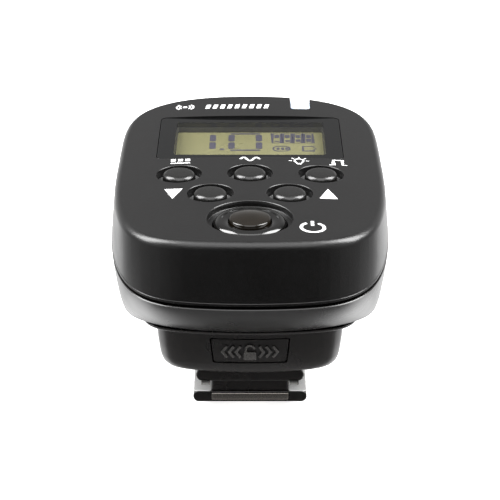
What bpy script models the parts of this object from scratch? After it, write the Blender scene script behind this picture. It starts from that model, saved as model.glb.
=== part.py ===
"""Wireless flash trigger: a hand-sized transmitter with a display, six buttons and a locking shoe foot.

+Z is up, +X is the user's right and +Y points away from the user. The origin is on the underside of
the foot, in its middle. Sizes are in millimetres, and one function turns them into metres.
"""

import math

import bmesh
import bpy
import numpy as np
from mathutils import Matrix, Vector

MM = 0.001
GAP = 0.3
SMOOTH_ANGLE = 35.0

# Casing. An outline is half width, near end, far end, the two powers of its near half and its bow.
TOP_Z = 35.3
SEAM_Z = 25.0
FLOOR_Z = 16.6
CASING_MID_Y = 9.0
TOP_OUTLINE = (21.85, -25.3, 40.5, 6.4, 2.9, 0.100)
SEAM_OUTLINE = (22.95, -26.5, 40.8, 6.4, 2.0, 0.105)
FLOOR_OUTLINE = (20.6, -16.7, 33.0, 10.0, 8.0, 0.180)
FAR_POWERS = (2.5, 5.3)
OUTLINE_POINTS = 48
BOWL_POWER = 1.35
SIDE_WALL = 1.5
TOP_WALL = 2.2
FLOOR_WALL = 1.3
TOP_SHELL_RIM_Z = 25.6
BOTTOM_SHELL_RIM_Z = 25.0
CASE_SCREWS = ((-18.8, -3.0), (18.8, -3.0), (-18.4, 22.0), (18.4, 22.0))
SCREW_HOLE_RADIUS = 1.2
BOSS_RADIUS = 1.9
POST_RADIUS = 2.3
RECESS_RADIUS = 1.8
DOOR_HALF_WIDTHS = (11.7, 13.4)
DOOR_STEP_Z = 18.5
DOOR_TOP_Z = 28.6

# Display
WINDOW_SIZE = (31.1, 19.6, 0.85)
WINDOW_Y = 19.65
WINDOW_TOP_Z = 35.0
VIEW_SIZE = (25.5, 15.4)
VIEW_Y = 19.5
LCD_TOP_Z = 33.2
BOARD_TOP_Z = 30.0
BOARD_OUTLINE = (15.6, -22.3, 35.4, 6.4, 3.0, 0.05)
BOARD_THICK = 1.0
# Pieces on the board: name, near left corner, far right corner, thickness, slot and corner radius
BOARD_PIECES = (
    ("controller_chip", (-14.4, -16.6), (-8.6, -10.8), 0.9, "chip", 0.3),
    ("radio_module", (8.6, -17.0), (14.4, -10.2), 1.6, "steel", 0.4),
    ("status_led", (8.2, 33.3), (9.8, 34.1), 0.6, "white_plastic", 0.15),
    ("power_led", (2.4, -16.1), (3.4, -14.9), 0.6, "white_plastic", 0.15),
)

# Buttons
BUTTON_RADIUS = 2.67
BUTTON_WELL_RADIUS = 3.7
BUTTON_TOP_Z = 35.6
WELL_FLOOR_Z = 34.0
BUTTON_FLANGE = (3.25, 32.2, 32.8)
POWER_FLANGE = (6.4, 32.2, 32.8)
STALK = (1.0, 31.9)
BUTTONS = {
    "group_button": (-11.54, 2.85),
    "channel_button": (0.0, 2.85),
    "mode_button": (11.54, 2.85),
    "down_button": (-6.3, -5.5),
    "up_button": (6.3, -5.5),
}
POWER_XY = (0.0, -15.5)
POWER_RING_RADIUS = 5.62
POWER_CAP_RADIUS = 3.2
POWER_WELL_RADIUS = 6.65
LIGHT_PIPE_X = (7.3, 10.7)
LIGHT_PIPE_NEAR_Y = 33.4

# Neck and foot
NECK_OUTLINE = (15.3, -14.9, 14.3, 8.0, 8.0, 0.13)
NECK_POWERS = (8.0, 8.0)
NECK_Z = (6.8, 16.3)
NECK_WALL = 1.6
NECK_FLOOR_Z = 9.5
COLLAR_SIZE = (17.5, 22.0)
COLLAR_Z = (4.4, 6.5)
BELOW_COLLAR_Z = 3.0
CONTACT_POCKET_RADIUS = 2.0
FOOT_NECK_SIZE = (12.4, 19.4)
FOOT_NECK_Z = (2.3, 4.1)
FOOT_SIZE = (18.6, 20.0, 2.0)
GROUND_PLATE_SIZE = (12.6, 19.0, 1.25)
FOOT_SCREWS = ((-4.1, -6.5), (4.1, -6.5), (-4.1, 6.5), (4.1, 6.5))
NECK_SCREWS = ((-12.2, -4.0), (12.2, -4.0))
CONTACT_Y = 2.6
CONTACT_RADIUS = 0.9
LOCK_Y = 7.4
LOCK_RADIUS = 1.0
UNLOCK_Z = (9.7, 13.9)
UNLOCK_HALF_WIDTHS = (5.75, 6.2)

# Cells
CELL_RADIUS = 5.2
CELL_X = 5.45
CELL_Z = 23.4
CELL_Y = (-12.3, 32.2)
CELL_STOP_Y = -14.5

PARTS = None
CUTTERS = None


# ---- scene and materials -------------------------------------------------------------------------


def clear_scene():
    for thing in list(bpy.data.objects):
        bpy.data.objects.remove(thing, do_unlink=True)


def new_collection(name):
    collection = bpy.data.collections.new(name)
    bpy.context.scene.collection.children.link(collection)
    return collection


def material(name, colour, roughness, metallic=0.0):
    made = bpy.data.materials.new(name)
    made.use_nodes = True
    shader = made.node_tree.nodes["Principled BSDF"]
    shader.inputs["Base Color"].default_value = (*colour, 1.0)
    shader.inputs["Roughness"].default_value = roughness
    shader.inputs["Metallic"].default_value = metallic
    return made


def make_materials():
    return {
        "casing": material("casing", (0.060, 0.060, 0.062), 0.45),
        "casing_dark": material("casing_dark", (0.030, 0.029, 0.030), 0.50),
        "neck": material("neck", (0.020, 0.018, 0.017), 0.42),
        "button": material("button", (0.055, 0.053, 0.051), 0.50),
        "gloss_black": material("gloss_black", (0.012, 0.012, 0.013), 0.12),
        "smoke": material("smoke", (0.085, 0.070, 0.050), 0.15),
        "window": material("window", (0.040, 0.041, 0.043), 0.10),
        "lcd": material("lcd", (0.300, 0.290, 0.155), 0.40),
        "light_pipe": material("light_pipe", (0.680, 0.760, 0.860), 0.30),
        "white_plastic": material("white_plastic", (0.700, 0.700, 0.680), 0.40),
        "board": material("board", (0.020, 0.120, 0.050), 0.50),
        "chip": material("chip", (0.015, 0.015, 0.016), 0.45),
        "steel": material("steel", (0.550, 0.545, 0.530), 0.30, 1.0),
        "foot_metal": material("foot_metal", (0.200, 0.175, 0.150), 0.38, 1.0),
        "brass": material("brass", (0.700, 0.520, 0.250), 0.28, 1.0),
        "cell": material("cell", (0.150, 0.150, 0.160), 0.35),
    }


# ---- making objects ------------------------------------------------------------------------------


def place(name, mesh, slot=None, centre=(0.0, 0.0, 0.0)):
    """An object of a mesh in metres: a part with a material slot, or a cutter without one."""
    made = bpy.data.objects.new(name, mesh)
    made.location = Vector(centre) * MM
    if slot is None:
        CUTTERS.objects.link(made)
        made.hide_render = True
        made.display_type = "WIRE"
        return made
    PARTS.objects.link(made)
    mesh.materials.append(MATERIALS[slot])
    mesh.shade_smooth()
    mesh.set_sharp_from_angle(angle=math.radians(SMOOTH_ANGLE))
    return made


def mesh_of(name, shape):
    """A mesh in metres from a bmesh in millimetres."""
    bmesh.ops.recalc_face_normals(shape, faces=shape.faces)
    shape.transform(Matrix.Scale(MM, 4))
    mesh = bpy.data.meshes.new(name)
    shape.to_mesh(mesh)
    shape.free()
    return mesh


def boolean(thing, other, operation="DIFFERENCE"):
    modifier = thing.modifiers.new(operation.title(), "BOOLEAN")
    modifier.operation = operation
    modifier.solver = "EXACT"
    modifier.object = other


def box(name, low, high, slot=None, centre=(0.0, 0.0, 0.0), corner=0.0, axis=2):
    """A box between two corners, whose edges along one axis can be rounded."""
    shape = bmesh.new()
    bmesh.ops.create_cube(shape, size=1.0)
    low, high = Vector(low), Vector(high)
    size = high - low
    shape.transform(Matrix.Translation((low + high) / 2) @ Matrix.Diagonal((*size, 1.0)))
    if corner:
        along = [e for e in shape.edges if abs((e.verts[0].co - e.verts[1].co)[axis]) > size[axis] / 2]
        bmesh.ops.bevel(shape, geom=along, offset=corner, segments=3, affect="EDGES", profile=0.5)
    return place(name, mesh_of(name, shape), slot, centre)


def cylinder(name, radius, low, high, xy, steps=20):
    """An upright round cutter."""
    shape = bmesh.new()
    bmesh.ops.create_cone(
        shape, cap_ends=True, segments=steps, radius1=radius, radius2=radius, depth=high - low
    )
    bmesh.ops.translate(shape, verts=shape.verts, vec=(0.0, 0.0, (low + high) / 2))
    return place(name, mesh_of(name, shape), centre=(*xy, 0.0))


def turned(name, profile, centre, slot, steps=20):
    """A turned piece: its profile of (radius, height) runs down the outer side, top to bottom."""
    mesh = bpy.data.meshes.new(name)
    points = [(radius * MM, 0.0, height * MM) for radius, height in profile]
    mesh.from_pydata(points, [(i, i + 1) for i in range(len(points) - 1)], [])
    made = place(name, mesh, slot, centre)
    screw = made.modifiers.new("Screw", "SCREW")
    screw.steps = steps
    screw.render_steps = steps
    screw.use_merge_vertices = True
    screw.merge_threshold = 0.00001
    screw.use_smooth_shade = True
    return made


def prism(name, outline, axis, low, high, slot=None):
    """A flat outline, in the two other axes in order, extended along an axis."""
    shape = bmesh.new()
    corners = []
    for first, second in outline:
        point = [first, second]
        point.insert(axis, low)
        corners.append(shape.verts.new(point))
    face = shape.faces.new(corners)
    along = Vector([high - low if i == axis else 0.0 for i in range(3)])
    raised = bmesh.ops.extrude_face_region(shape, geom=[face])["geom"]
    bmesh.ops.translate(shape, verts=[v for v in raised if isinstance(v, bmesh.types.BMVert)], vec=along)
    return place(name, mesh_of(name, shape), slot)


def wire(name, points, radius, slot, centre=(0.0, 0.0, 0.0)):
    """A round wire through a list of points."""
    curve = bpy.data.curves.new(name, "CURVE")
    curve.dimensions = "3D"
    curve.bevel_depth = radius * MM
    curve.bevel_resolution = 1
    curve.use_fill_caps = True
    line = curve.splines.new("POLY")
    line.points.add(len(points) - 1)
    for spot, point in zip(line.points, points):
        spot.co = (*(Vector(point) * MM), 1.0)
    curve.materials.append(MATERIALS[slot])
    made = bpy.data.objects.new(name, curve)
    made.location = Vector(centre) * MM
    PARTS.objects.link(made)
    return made


def coil(turns, start, end, start_radius, end_radius=None, per_turn=8):
    """The points of a spring about the Z axis."""
    end_radius = start_radius if end_radius is None else end_radius
    share = np.linspace(0.0, 1.0, int(turns * per_turn) + 1)
    angle = share * turns * math.tau
    radius = start_radius + (end_radius - start_radius) * share
    height = start + (end - start) * share
    return list(zip(radius * np.cos(angle), radius * np.sin(angle), height))


# ---- outlines and lofts --------------------------------------------------------------------------


def quadrant(power_x, power_y, bow, samples=120):
    """A quarter of a rounded outline of unit size, from the side to the end."""
    share = np.linspace(1.0, 0.0, samples)
    total = share**power_x + (1.0 - share) ** power_y
    across = share / total ** (1.0 / power_x)
    along = (1.0 - share) / total ** (1.0 / power_y)
    return across, along * (1.0 - bow * across**2)


def outline(shape, mid_y, far_powers, count, inset=0.0):
    """Evenly spaced points around an outline, anticlockwise from above, moved inwards by inset."""
    half_width, near, far, power_x, power_y, bow = shape
    across = half_width - inset
    near_x, near_y = quadrant(power_x, power_y, bow)
    far_x, far_y = quadrant(*far_powers, 0.0)
    x = np.concatenate([near_x[::-1], far_x[1:]]) * across
    y = np.concatenate(
        [mid_y + near_y[::-1] * (near + inset - mid_y), mid_y + far_y[1:] * (far - inset - mid_y)]
    )
    length = np.concatenate([[0.0], np.cumsum(np.hypot(np.diff(x), np.diff(y)))])
    stops = np.linspace(0.0, length[-1], count // 2 + 1)
    right = list(zip(np.interp(stops, length, x), np.interp(stops, length, y)))
    return right + [(-px, py) for px, py in reversed(right[1:-1])]


def casing_ring(z, inset=0.0):
    """The casing's outline at a height, where the side leans out from the top down to the seam."""
    rise = (min(max(z, SEAM_Z), TOP_Z) - SEAM_Z) / (TOP_Z - SEAM_Z)
    shape = [seam + (top - seam) * rise for seam, top in zip(SEAM_OUTLINE, TOP_OUTLINE)]
    return [(x, y, z) for x, y in outline(shape, CASING_MID_Y, FAR_POWERS, OUTLINE_POINTS, inset)]


def bowl_rings(inset=0.0, floor=0.0, steps=6):
    """The rings of the casing's bowl, from its floor up to the seam, where it draws in to the floor."""
    rim = outline(SEAM_OUTLINE, CASING_MID_Y, FAR_POWERS, OUTLINE_POINTS, inset)
    base = outline(FLOOR_OUTLINE, CASING_MID_Y, FAR_POWERS, OUTLINE_POINTS, inset)
    depth = SEAM_Z - FLOOR_Z - floor
    rings = []
    for i in range(steps, -1, -1):
        angle = math.pi / 2 * i / steps
        share = 1.0 - math.cos(angle) ** (2.0 / BOWL_POWER)
        z = SEAM_Z - depth * math.sin(angle) ** (2.0 / BOWL_POWER)
        rings.append([(a + (c - a) * share, b + (d - b) * share, z) for (a, b), (c, d) in zip(rim, base)])
    return rings


def neck_ring(z, inset=0.0):
    return [(x, y, z) for x, y in outline(NECK_OUTLINE, 0.0, NECK_POWERS, OUTLINE_POINTS, inset)]


def loft(name, rings, slot=None):
    """One closed skin over a run of rings: the first is capped downwards and the last upwards."""
    shape = bmesh.new()
    rows = [[shape.verts.new(point) for point in ring] for ring in rings]
    for lower, upper in zip(rows, rows[1:]):
        for i in range(len(lower)):
            j = (i + 1) % len(lower)
            shape.faces.new((lower[i], lower[j], upper[j], upper[i]))
    bmesh.ops.triangulate(shape, faces=shape.faces)
    shape.faces.new(list(reversed(rows[0])))
    shape.faces.new(rows[-1])
    return place(name, mesh_of(name, shape), slot)


# ---- casing --------------------------------------------------------------------------------------


def make_top_shell():
    inner_top = TOP_Z - TOP_WALL
    levels = [(inner_top, SIDE_WALL), (TOP_SHELL_RIM_Z, SIDE_WALL), (TOP_SHELL_RIM_Z, 0.0), (30.0, 0.0)]
    levels += [(TOP_Z - 0.6, 0.0), (TOP_Z - 0.2, 0.15), (TOP_Z, 0.5)]
    shell = loft("top_shell", [casing_ring(z, inset) for z, inset in levels], "casing")
    for i, xy in enumerate(CASE_SCREWS):
        boolean(shell, cylinder(f"cut_top_boss_{i}", BOSS_RADIUS, 26.2, inner_top + 0.4, xy, 12), "UNION")
        boolean(shell, cylinder(f"cut_top_hole_{i}", SCREW_HOLE_RADIUS, 25.0, 31.8, xy, 12))
    for name, xy in BUTTONS.items():
        boolean(shell, cylinder(f"cut_{name}_well", BUTTON_WELL_RADIUS, WELL_FLOOR_Z, 36.0, xy))
        boolean(shell, cylinder(f"cut_{name}_hole", BUTTON_RADIUS + GAP, 32.0, 35.0, xy))
    boolean(shell, cylinder("cut_power_well", POWER_WELL_RADIUS, WELL_FLOOR_Z, 36.0, POWER_XY, 28))
    boolean(shell, cylinder("cut_power_hole", POWER_RING_RADIUS + GAP, 32.0, 35.0, POWER_XY, 28))
    pocket_floor = WINDOW_TOP_Z - WINDOW_SIZE[2] - GAP
    boolean(shell, window_box("cut_window_pocket", pocket_floor, 36.0, GAP))
    half_x, half_y = VIEW_SIZE[0] / 2, VIEW_SIZE[1] / 2
    boolean(shell, box("cut_view", (-half_x, VIEW_Y - half_y, 32.0), (half_x, VIEW_Y + half_y, 35.0)))
    low, high = (LIGHT_PIPE_X[0] - GAP, LIGHT_PIPE_NEAR_Y - GAP, 31.0), (LIGHT_PIPE_X[1] + GAP, 46.0, 36.0)
    boolean(shell, box("cut_light_pipe", low, high))
    door_x = DOOR_HALF_WIDTHS[1] + GAP
    boolean(shell, box("cut_top_door", (-door_x, 30.0, 24.0), (door_x, 46.0, DOOR_TOP_Z + GAP)))
    return shell


def door_outline(gap=0.0):
    """The door seen from its end: narrow through the floor, wider above it."""
    narrow, wide = (half_width + gap for half_width in DOOR_HALF_WIDTHS)
    right = [(narrow, 14.0), (narrow, DOOR_STEP_Z - gap), (wide, DOOR_STEP_Z - gap), (wide, 32.0)]
    return right + [(-x, z) for x, z in reversed(right)]


def make_bottom_shell():
    lip = [(BOTTOM_SHELL_RIM_Z, 0.9), (BOTTOM_SHELL_RIM_Z + 0.3, 0.9), (BOTTOM_SHELL_RIM_Z + 0.3, SIDE_WALL)]
    rings = bowl_rings() + [casing_ring(z, inset) for z, inset in lip]
    shell = loft("bottom_shell", rings + bowl_rings(SIDE_WALL, FLOOR_WALL)[::-1], "casing_dark")
    hull = loft("cut_bottom_hull", bowl_rings(0.4, 0.4))
    for i, xy in enumerate(CASE_SCREWS):
        post = cylinder(f"cut_bottom_post_{i}", POST_RADIUS, 16.0, 24.8, xy, 12)
        boolean(post, hull, "INTERSECT")
        boolean(shell, post, "UNION")
        boolean(shell, cylinder(f"cut_bottom_recess_{i}", RECESS_RADIUS, 12.0, 18.4, xy, 12))
        boolean(shell, cylinder(f"cut_bottom_hole_{i}", SCREW_HOLE_RADIUS, 12.0, 28.0, xy, 12))
    for side in (-1, 1):
        rail = sorted((side * 9.9, side * 10.7))
        low, high = (rail[0], CELL_STOP_Y - 0.5, 17.4), (rail[1], 16.0, 20.0)
        boolean(shell, box(f"cut_rail_{side}", low, high), "UNION")
    low, high = (-11.1, CELL_STOP_Y - 1.0, 17.4), (11.1, CELL_STOP_Y, 27.6)
    boolean(shell, box("cut_cell_stop", low, high), "UNION")
    boolean(shell, prism("cut_door", door_outline(GAP), 1, 17.0, 50.0))
    for i, xy in enumerate(NECK_SCREWS):
        boolean(shell, cylinder(f"cut_neck_screw_hole_{i}", SCREW_HOLE_RADIUS, 12.0, 22.0, xy, 12))
    boolean(shell, cylinder("cut_cable_hole", 1.1, 12.0, 22.0, (-12.0, 4.0), 12))
    return shell


def make_battery_door():
    """The sliding end cover of the cell bay, with two tongues that run inside the floor's edges."""
    rings = bowl_rings() + [casing_ring(DOOR_TOP_Z), casing_ring(DOOR_TOP_Z, SIDE_WALL)]
    door = loft("battery_door", rings + bowl_rings(SIDE_WALL, FLOOR_WALL)[::-1], "casing_dark")
    boolean(door, prism("cut_door_shape", door_outline(), 1, 17.3, 50.0), "INTERSECT")
    for side in (-1, 1):
        inner, narrow, wide = 10.7, DOOR_HALF_WIDTHS[0] - 0.2, DOOR_HALF_WIDTHS[1] - GAP
        shape = [(inner, 17.2), (narrow, 17.2), (narrow, 18.4), (wide, 18.4), (wide, 19.3), (inner, 19.3)]
        tongue = prism(f"cut_tongue_{side}", [(side * x, z) for x, z in shape], 1, 17.8, 25.5)
        boolean(door, tongue, "UNION")
    return door


def make_case_screws():
    profile = [(0.0, 31.0), (0.9, 30.6), (0.9, 18.1), (1.5, 18.1), (1.5, 17.4), (1.2, 17.2)]
    profile += [(0.5, 17.2), (0.35, 17.6), (0.0, 17.6)]
    for i, xy in enumerate(CASE_SCREWS):
        turned(f"case_screw_{i + 1}", profile, (*xy, 0.0), "steel", 10)


# ---- display and board ---------------------------------------------------------------------------


def window_box(name, low, high, grow=0.0, slot=None):
    half_x, half_y = WINDOW_SIZE[0] / 2 + grow, WINDOW_SIZE[1] / 2 + grow
    corners = (-half_x, WINDOW_Y - half_y, low), (half_x, WINDOW_Y + half_y, high)
    return box(name, *corners, slot, corner=1.0 + grow)


def view_plate(name, shrink, low, high, slot):
    half_x, half_y = VIEW_SIZE[0] / 2 - shrink, VIEW_SIZE[1] / 2 - shrink
    return box(name, (-half_x, VIEW_Y - half_y, low), (half_x, VIEW_Y + half_y, high), slot)


def make_display():
    window_box("display_window", WINDOW_TOP_Z - WINDOW_SIZE[2], WINDOW_TOP_Z, slot="window")
    view_plate("lcd_panel", GAP, LCD_TOP_Z - 1.3, LCD_TOP_Z, "lcd")
    view_plate("lcd_backlight", GAP, BOARD_TOP_Z + 0.4, LCD_TOP_Z - 1.6, "white_plastic")
    frame = view_plate("lcd_frame", -1.8, BOARD_TOP_Z + 0.3, LCD_TOP_Z - 0.5, "white_plastic")
    boolean(frame, view_plate_cutter("cut_lcd_frame"))


def view_plate_cutter(name):
    half_x, half_y = VIEW_SIZE[0] / 2, VIEW_SIZE[1] / 2
    return box(name, (-half_x, VIEW_Y - half_y, 28.0), (half_x, VIEW_Y + half_y, 36.0))


def make_board():
    rings = []
    for z in (BOARD_TOP_Z - BOARD_THICK, BOARD_TOP_Z):
        rings.append([(x, y, z) for x, y in outline(BOARD_OUTLINE, CASING_MID_Y, FAR_POWERS, 32)])
    loft("main_board", rings, "board")
    base = BOARD_TOP_Z + GAP
    for name, low, high, thick, slot, corner in BOARD_PIECES:
        box(name, (*low, base), (*high, base + thick), slot, corner=corner)
    bends = [(-13.0, 31.0), (-13.0, 32.6), (-10.6, 32.6), (-10.6, 30.2), (-8.2, 30.2), (-8.2, 34.2)]
    bends += [(-5.8, 34.2), (-5.8, 30.2), (-3.4, 30.2), (-3.4, 34.2)]
    wire("antenna", [(x, y, base + 0.5) for x, y in bends], 0.35, "brass")


def make_light_pipe():
    levels = [(31.3, 0.0), (TOP_Z - 0.6, 0.0), (TOP_Z - 0.2, 0.15), (TOP_Z, 0.5)]
    pipe = loft("status_light_pipe", [casing_ring(z, inset) for z, inset in levels], "light_pipe")
    low, high = (LIGHT_PIPE_X[0], LIGHT_PIPE_NEAR_Y, 30.0), (LIGHT_PIPE_X[1], 46.0, 37.0)
    boolean(pipe, box("cut_pipe_shape", low, high), "INTERSECT")


# ---- buttons -------------------------------------------------------------------------------------


def make_switch(name, xy):
    base = BOARD_TOP_Z + GAP
    switch = box(name, (-1.9, -1.9, base), (1.9, 1.9, base + 0.6), "steel", (*xy, 0.0), corner=0.3)
    boolean(switch, cylinder(f"cut_{name}", 0.8, base + 0.3, base + 1.0, xy, 12), "UNION")


def flange(radius, shape):
    """A profile's step out to a flange that keeps a button inside the casing."""
    reach, low, high = shape
    return [(radius, high), (reach, high), (reach, low)]


def make_buttons():
    top, radius = BUTTON_TOP_Z, BUTTON_RADIUS
    profile = [(0.0, top), (1.7, top - 0.03), (2.15, top - 0.12), (2.45, top - 0.4), (radius, top - 0.9)]
    profile += flange(radius, BUTTON_FLANGE) + [(STALK[0], BUTTON_FLANGE[1]), STALK, (0.0, STALK[1])]
    for name, xy in BUTTONS.items():
        turned(name, profile, (*xy, 0.0), "button")
        make_switch(name.replace("button", "switch"), xy)


def make_power_button():
    outer, inner = POWER_RING_RADIUS, POWER_CAP_RADIUS + GAP
    profile = [(inner, 34.4), (4.3, 34.5), (4.5, 34.8), (4.75, 35.05), (5.1, 35.1), (5.4, 34.95), (outer, 34.6)]
    profile += flange(outer, POWER_FLANGE) + [(1.6, POWER_FLANGE[1]), (1.6, 32.9), (inner, 32.9), profile[0]]
    turned("power_button_ring", profile, (*POWER_XY, 0.0), "gloss_black", 28)
    cap = POWER_CAP_RADIUS
    profile = [(0.0, 35.7), (1.6, 35.62), (2.5, 35.4), (3.0, 35.05), (cap, 34.6), (cap, 33.2)]
    profile += [(STALK[0], 33.2), STALK, (0.0, STALK[1])]
    turned("power_button_cap", profile, (*POWER_XY, 0.0), "smoke")
    make_switch("power_switch", POWER_XY)


# ---- cells ---------------------------------------------------------------------------------------


def make_cells():
    length = CELL_Y[1] - CELL_Y[0]
    radius = CELL_RADIUS
    profile = [(0.0, length), (2.4, length), (2.6, length - 0.2), (2.6, length - 1.0), (radius - 0.3, length - 1.0)]
    profile += [(radius, length - 1.4), (radius, 0.4), (radius - 0.4, 0.0), (0.0, 0.0)]
    for name, x, turn in (("cell_left", -CELL_X, -1), ("cell_right", CELL_X, 1)):
        start = CELL_Y[0] if turn < 0 else CELL_Y[1]
        cell = turned(name, profile, (x, start, CELL_Z), "cell")
        cell.rotation_euler = (turn * math.pi / 2, 0.0, 0.0)
    centre = (-CELL_X, CELL_STOP_Y + 0.5, CELL_Z)
    spring = wire("battery_spring", coil(3, 0.0, 1.2, 2.4, 1.4), 0.2, "steel", centre)
    spring.rotation_euler = (-math.pi / 2, 0.0, 0.0)
    plate = [(0.3, 20.4), (0.6, 20.4), (0.6, 22.2), (1.8, 23.0), (1.8, 23.8), (0.6, 24.6), (0.6, 26.4), (0.3, 26.4)]
    plate = [(CELL_STOP_Y + y, z) for y, z in plate]
    prism("battery_plate", plate, 0, CELL_X - 2.0, CELL_X + 2.0, "steel")
    make_door_contact()


def make_door_contact():
    """A bent strip on the door that joins the ends of the two cells."""
    back, tip, thick = 35.0, CELL_Y[1] + 0.4, 0.3
    half = [(8.0, back), (7.2, back), (6.2, tip), (4.7, tip), (3.7, back)]
    front = half + [(-x, y) for x, y in reversed(half)]
    strip = front + [(x, y + thick) for x, y in reversed(front)]
    prism("door_contact", strip, 2, 22.0, 26.0, "steel")


# ---- neck ----------------------------------------------------------------------------------------


def neck_levels():
    low, high = NECK_Z
    return [(low, 3.6), (low + 0.35, 1.9), (low + 1.2, 0.95), (low + 2.4, 0.6), (high - 0.7, 0.0)]


def unlock_block(name, grow, near, far):
    """The release button's block: wider at its top, and longer towards the inside."""
    (low, high), (narrow, wide) = UNLOCK_Z, UNLOCK_HALF_WIDTHS
    shape = [(narrow + grow, low - grow), (wide + grow, high + grow), (-wide - grow, high + grow)]
    shape.append((-narrow - grow, low - grow))
    return prism(name, shape, 1, near, far)


def make_neck_housing():
    high = NECK_Z[1]
    levels = neck_levels() + [(high - 0.7, -2.0), (high, -2.0), (high, NECK_WALL), (NECK_FLOOR_Z, NECK_WALL)]
    housing = loft("neck_housing", [neck_ring(z, inset) for z, inset in levels], "neck")
    inside = NECK_FLOOR_Z - 0.3
    stop = box("cut_spring_stop", (-1.05, -6.2, inside), (1.05, -5.2, 15.0))
    boolean(housing, stop, "UNION")
    for i, xy in enumerate(FOOT_SCREWS):
        boolean(housing, cylinder(f"cut_foot_boss_{i}", 1.7, inside, 10.8, xy, 12), "UNION")
        boolean(housing, cylinder(f"cut_foot_hole_{i}", SCREW_HOLE_RADIUS, BELOW_COLLAR_Z, 12.0, xy, 12))
    for i, (x, y) in enumerate(NECK_SCREWS):
        side = math.copysign(1.0, x)
        edges = sorted((x - side * 1.7, side * (NECK_OUTLINE[0] - NECK_WALL + 0.5)))
        post = box(f"cut_neck_post_{i}", (edges[0], y - 1.7, inside), (edges[1], y + 1.7, 15.9))
        boolean(housing, post, "UNION")
        boolean(housing, cylinder(f"cut_neck_hole_{i}", 1.1, 10.5, 18.0, (x, y), 12))
    for label, radius, y in (("contact", CONTACT_POCKET_RADIUS, CONTACT_Y), ("lock", LOCK_RADIUS + GAP, LOCK_Y)):
        boolean(housing, cylinder(f"cut_{label}_hole", radius, BELOW_COLLAR_Z, 10.0, (0.0, y)))
    boolean(housing, unlock_block("cut_unlock_opening", GAP, -18.0, -11.0))


def make_unlock_button():
    """The release button, and the fork behind it whose slopes lift the lock pin."""
    block = loft("unlock_button", [neck_ring(z, inset + 0.05) for z, inset in neck_levels()], "neck")
    boolean(block, unlock_block("cut_unlock_shape", 0.0, -18.0, -11.4), "INTERSECT")
    side_view = [(-12.2, 11.1), (9.4, 11.1), (9.4, 11.6), (5.3, 11.6), (3.7, 13.2), (-12.2, 13.2)]
    for side in (-1, 1):
        edges = sorted((side * 1.45, side * 2.6))
        boolean(block, prism(f"cut_fork_{side}", side_view, 0, *edges), "UNION")
    turn = Matrix.Translation((0.0, -14.9 * MM, 11.8 * MM))
    block.data.transform(turn.inverted())
    block.location = turn.translation
    spring = wire("unlock_spring", coil(5, 0.0, 4.4, 0.8), 0.15, "steel", (0.0, -6.6, 12.2))
    spring.rotation_euler = (math.pi / 2, 0.0, 0.0)


def make_lock_pin():
    head, radius = 1.8, LOCK_RADIUS
    profile = [(0.0, 12.6), (head - 0.1, 12.6), (head, 12.5), (head, 12.0), (head - 0.1, 11.9), (radius, 11.9)]
    profile += [(radius, -1.0), (radius - 0.3, -1.3), (0.0, -1.3)]
    turned("lock_pin", profile, (0.0, LOCK_Y, 0.0), "steel", 12)
    wire("lock_pin_spring", coil(4, 13.1, 16.0, 1.2), 0.18, "steel", (0.0, LOCK_Y, 0.0))


def make_contact_pin():
    radius = CONTACT_RADIUS
    profile = [(0.0, 6.9), (0.6, 6.9), (0.6, 6.3), (1.6, 6.3), (1.6, 5.6), (radius, 5.6)]
    profile += [(radius, -0.4), (radius - 0.35, -0.8), (0.0, -0.8)]
    turned("contact_pin", profile, (0.0, CONTACT_Y, 0.0), "brass", 12)
    wire("contact_spring", coil(3, 6.8, 9.3, 1.2), 0.17, "steel", (0.0, CONTACT_Y, 0.0))
    box("contact_board", (-5.0, -3.4, 9.8), (5.0, 4.4, 10.8), "board", corner=0.5)


def make_shoe_cable():
    route = [(-4.2, 1.0, 11.3), (-7.0, 2.2, 11.5), (-10.0, 3.6, 12.2), (-11.6, 4.0, 13.6), (-12.0, 4.0, 16.0)]
    route += [(-12.2, 4.0, 20.0), (-12.6, 4.0, 25.0), (-12.6, 4.0, 28.3)]
    wire("shoe_cable", route, 0.4, "chip")


def make_neck_screws():
    profile = [(0.0, 19.2), (1.2, 19.2), (1.5, 18.9), (1.5, 18.3), (0.85, 18.3), (0.85, 11.6), (0.0, 11.2)]
    for i, xy in enumerate(NECK_SCREWS):
        turned(f"neck_screw_{i + 1}", profile, (*xy, 0.0), "steel", 10)


# ---- foot ----------------------------------------------------------------------------------------


def foot_holes(thing, name, screw_radius, pocket_z=None):
    """Holes for the screws, the contact pin and the lock pin, as seen from below."""
    for i, xy in enumerate(FOOT_SCREWS):
        boolean(thing, cylinder(f"cut_{name}_screw_{i}", screw_radius, -2.0, 9.0, xy, 12))
    for label, y, radius in (("contact", CONTACT_Y, CONTACT_RADIUS), ("lock", LOCK_Y, LOCK_RADIUS)):
        boolean(thing, cylinder(f"cut_{name}_{label}", radius + GAP, -2.0, 9.0, (0.0, y), 12))
    if pocket_z is not None:
        boolean(thing, cylinder(f"cut_{name}_pocket", CONTACT_POCKET_RADIUS, pocket_z, 9.0, (0.0, CONTACT_Y)))


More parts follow.
